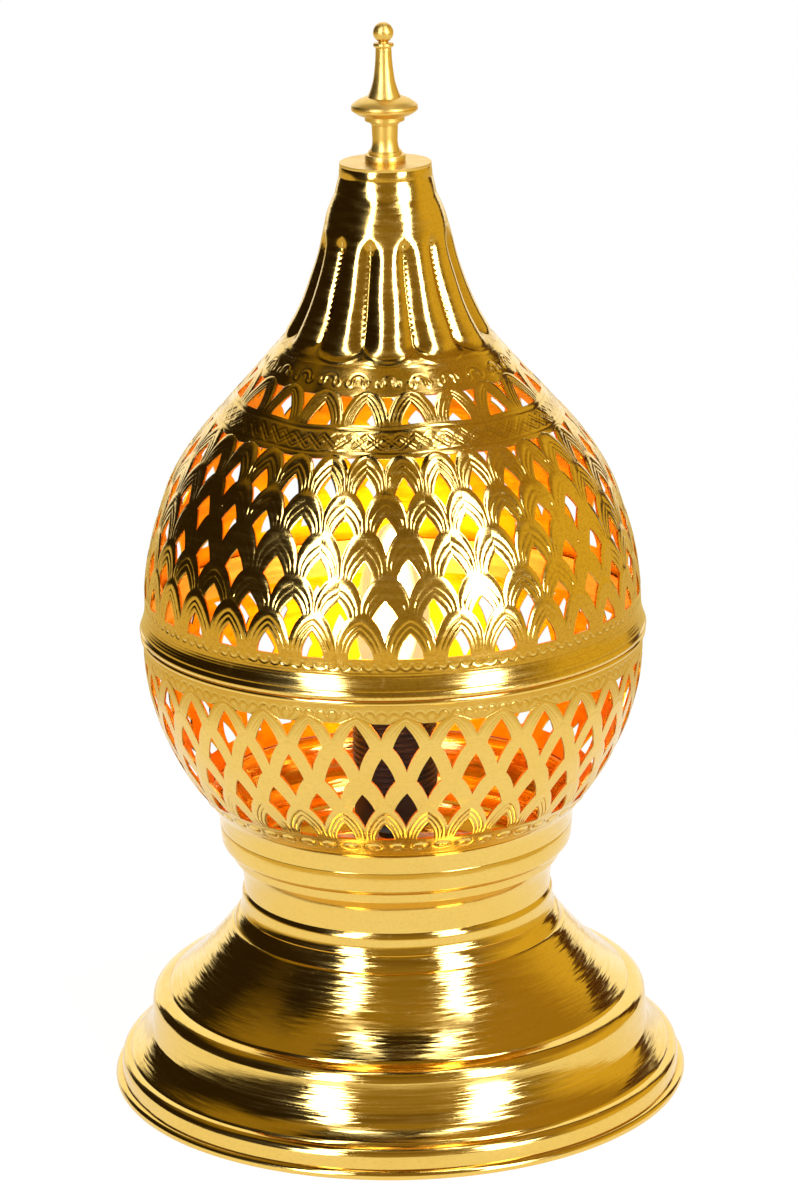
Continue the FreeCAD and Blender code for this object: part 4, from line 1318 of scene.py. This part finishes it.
class Studio(Nodes):
    """The world's nodes, with ways to mark out parts of the sky. Azimuth is in degrees from the front (-Y)
    towards +X, and height in degrees over the horizon."""

    def __init__(self, world):
        super().__init__(world)
        x, y, z = self.separate(self.nodes.new("ShaderNodeTexCoord").outputs["Generated"])
        degrees = 180.0 / math.pi
        self.azimuth = self.times(self.math("ARCTAN2", x, self.times(y, -1.0)), degrees)
        self.height = self.times(self.math("ARCSINE", z), degrees)

    def between(self, value, low, high, soft):
        """1 between two values and 0 outside them."""
        return self.times(self.ramp(value, low - soft, low + soft, 0.0, 1.0),
                          self.ramp(value, high - soft, high + soft, 1.0, 0.0))

    def sector(self, low, high, soft):
        return self.between(self.azimuth, low, high, soft)

    def spread_out(self, low, high, soft, turn_by):
        """A sector that lies further aside high up."""
        moved = self.math("SUBTRACT", self.azimuth, self.ramp(self.height, 35.0, 66.0, 0.0, turn_by))
        return self.between(moved, low, high, soft)

    def above(self, low, high, most=1.0):
        """0 below the lower height, and the most above the higher one."""
        return self.ramp(self.height, low, high, 0.0, most)

    def under(self, low, high):
        """1 below the lower height and 0 above the higher one."""
        return self.ramp(self.height, low, high, 1.0, 0.0)


def make_world():
    """Studio seen in the brass: two tall soft boxes, a pale backdrop, an amber side and dark gaps. What the
    camera sees directly is plain pale."""
    world = bpy.data.worlds.new("studio")
    bpy.context.scene.world = world
    w = Studio(world)
    patch = (0.34, 0.23, 0.03, 1.0)
    left = w.mix(w.above(38.0, 60.0), (0.026, 0.016, 0.004, 1.0), (0.014, 0.009, 0.002, 1.0))
    centre = w.mix(w.above(8.0, 55.0), (0.32, 0.22, 0.045, 1.0), (0.19, 0.12, 0.015, 1.0))
    centre = w.mix(w.above(66.0, 71.0), centre, (0.025, 0.015, 0.002, 1.0))
    colour = w.mix(w.spread_out(-27.0, 33.0, 2.0, 3.0), left, centre)
    shoulder = w.times(w.times(w.above(50.0, 60.0), w.under(66.0, 72.0)), w.sector(-108.0, 50.0, 10.0))
    colour = w.mix(shoulder, colour, patch)
    upper_left = w.times(w.times(w.above(30.0, 54.0), w.under(60.0, 68.0)), w.sector(-150.0, -94.0, 12.0))
    colour = w.mix(upper_left, colour, patch)
    amber = w.mix(w.above(20.0, 42.0), (0.82, 0.60, 0.10, 1.0), (0.42, 0.26, 0.035, 1.0))
    amber = w.mix(w.ramp(w.azimuth, 50.0, 88.0, 0.0, 1.0), (0.22, 0.14, 0.02, 1.0), amber)
    colour = w.mix(w.sector(52.0, 134.0, 3.0), colour, amber)
    colour = w.mix(w.sector(132.0, 143.0, 2.0), colour, (0.09, 0.035, 0.008, 1.0))
    right_back = w.times(w.ramp(w.azimuth, 142.0, 146.0, 0.0, 1.0), w.under(80.0, 88.0))
    left_back = w.times(w.ramp(w.azimuth, -147.0, -142.0, 1.0, 0.0), w.under(55.0, 75.0))
    colour = w.mix(w.math("MAXIMUM", right_back, left_back), colour, (1.3, 1.28, 1.24, 1.0))
    boxes = w.math("MAXIMUM", w.spread_out(-40.0, -26.0, 1.6, -10.0), w.spread_out(32.5, 50.0, 1.6, 12.0))
    boxes = w.times(boxes, w.times(w.above(-6.0, -1.0), w.under(72.0, 80.0)))
    gap = w.times(w.above(57.0, 60.0, 0.94), w.under(66.0, 69.0))
    boxes = w.times(boxes, w.math("SUBTRACT", 1.0, gap))
    bright = w.mix(w.above(22.0, 38.0), (12.0, 12.8, 18.5, 1.0), (9.0, 9.5, 13.5, 1.0))
    colour = w.mix(boxes, colour, bright)
    below = w.mix(w.above(-26.0, -18.0), (0.95, 0.93, 0.87, 1.0), (0.80, 0.62, 0.22, 1.0))
    colour = w.mix(w.under(-9.0, -3.0), colour, below)

    seen = w.nodes.new("ShaderNodeBackground")
    seen.inputs["Color"].default_value = (1.0, 1.0, 1.0, 1.0)
    lit = w.nodes.new("ShaderNodeBackground")
    w.put(lit.inputs["Color"], colour)
    both = w.nodes.new("ShaderNodeMixShader")
    ray = w.nodes.new("ShaderNodeLightPath").outputs["Is Camera Ray"]
    for socket, value in zip(both.inputs, (ray, lit.outputs[0], seen.outputs[0])):
        w.put(socket, value)
    w.put(w.nodes.new("ShaderNodeOutputWorld").inputs[0], both.outputs[0])


def make_glow(power):
    """The lamp's own light."""
    low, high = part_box("lamp_filaments")
    middle = (low + high) / 2
    data = bpy.data.lights.new("lamp_glow", "POINT")
    data.energy = power
    data.color = (1.0, 0.72, 0.36)
    data.shadow_soft_size = 0.010
    glow = bpy.data.objects.new("lamp_glow", data)
    glow.location = middle
    bpy.context.scene.collection.objects.link(glow)
    glow.visible_camera = False
    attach(glow, "lamp")


def make_camera():
    """Camera at the photograph's angle: in front of the lantern and looking down on it."""
    place = Vector((0.0, -1.97868, 0.82438))
    aside = Matrix.Rotation(math.radians(-0.087), 4, "Z")
    down = Matrix.Rotation(math.radians(90.0 - 16.589), 4, "X")
    roll = Matrix.Rotation(math.radians(-0.9245), 4, "Z")
    data = bpy.data.cameras.new("camera")
    data.sensor_fit = "VERTICAL"
    data.sensor_height = 24.0
    data.lens = 87.968
    data.clip_start = 0.1
    data.clip_end = 20.0
    camera = bpy.data.objects.new("camera", data)
    bpy.context.scene.collection.objects.link(camera)
    camera.matrix_world = Matrix.Translation(place) @ aside @ down @ roll
    bpy.context.scene.camera = camera


# ---------------------------------------------------------------- the lantern

chased = brass("brass_chased", 0.09, 0.10, wave=0.2, relief=True, sway=0.12, grain=0.35)
bowl_brass = brass("brass_bowl", 0.15, 0.12, streak_bump=0.2, wave=0.15, relief=True)
neck_brass = brass("brass_neck", 0.08, 0.12, streak_bump=0.35, wave=0.4, relief=True, grain=0.45)
spun_brass = brass("brass_spun", 0.06, 0.12, streak_bump=0.3, wave=0.25, fine=900.0, sway=0.3)
turned_brass = brass("brass_turned", 0.30, 0.14, streak_bump=0.8, wave=0.05, fine=1100.0)

make_globe(chased)
make_neck(neck_brass)
make_bowl(bowl_brass)
make_bowl_rim(spun_brass)
make_collar(spun_brass)
make_sleeve(spun_brass)
make_foot(spun_brass)
make_cap(turned_brass)
make_plinth(turned_brass)
make_column(turned_brass)
make_disc(turned_brass)
make_spire(turned_brass)
bakelite = black_plastic()
make_holder_skirt(bakelite)
make_holder_cap(bakelite)
make_lamp_glass(clear_glass())

steel = grey_metal("steel_plain", (0.50, 0.49, 0.47, 1.0), (0.36, 0.35, 0.34, 1.0), 0.3)
nickel = grey_metal("nickel_plate", (0.70, 0.66, 0.60, 1.0), (0.56, 0.52, 0.46, 1.0), 0.2)
dull_brass = brass("brass_dull", 0.3, 0.15, streak_bump=0.3, wave=0.2, deepen=0.7)
finishes = {
    "turned_brass": turned_brass,
    "polished_brass": spun_brass,
    "chased_brass": chased,
    "sheet_brass": dull_brass,
    "steel": steel,
    "black_rubber": black_rubber(),
    "black_plastic": bakelite,
    "white_insert": white_ceramic(),
    "clear_glass": clear_glass(),
    "nickel": nickel,
    "black_glass": black_glass(),
    "filament": lit_filament(60.0),
}
for node_name, node_object in frame["nodes"].items():
    if not node_object.hide_render:
        paint(node_name, finishes[SLOT[node_name]])

make_floor()
make_world()
make_glow(1.4)
make_camera()
scene = bpy.context.scene
scene.view_settings.view_transform = "Standard"
scene.view_settings.look = "None"
scene.cycles.max_bounces = 12
scene.cycles.glossy_bounces = 8
scene.cycles.transparent_max_bounces = 12
scene.cycles.sample_clamp_indirect = 8.0
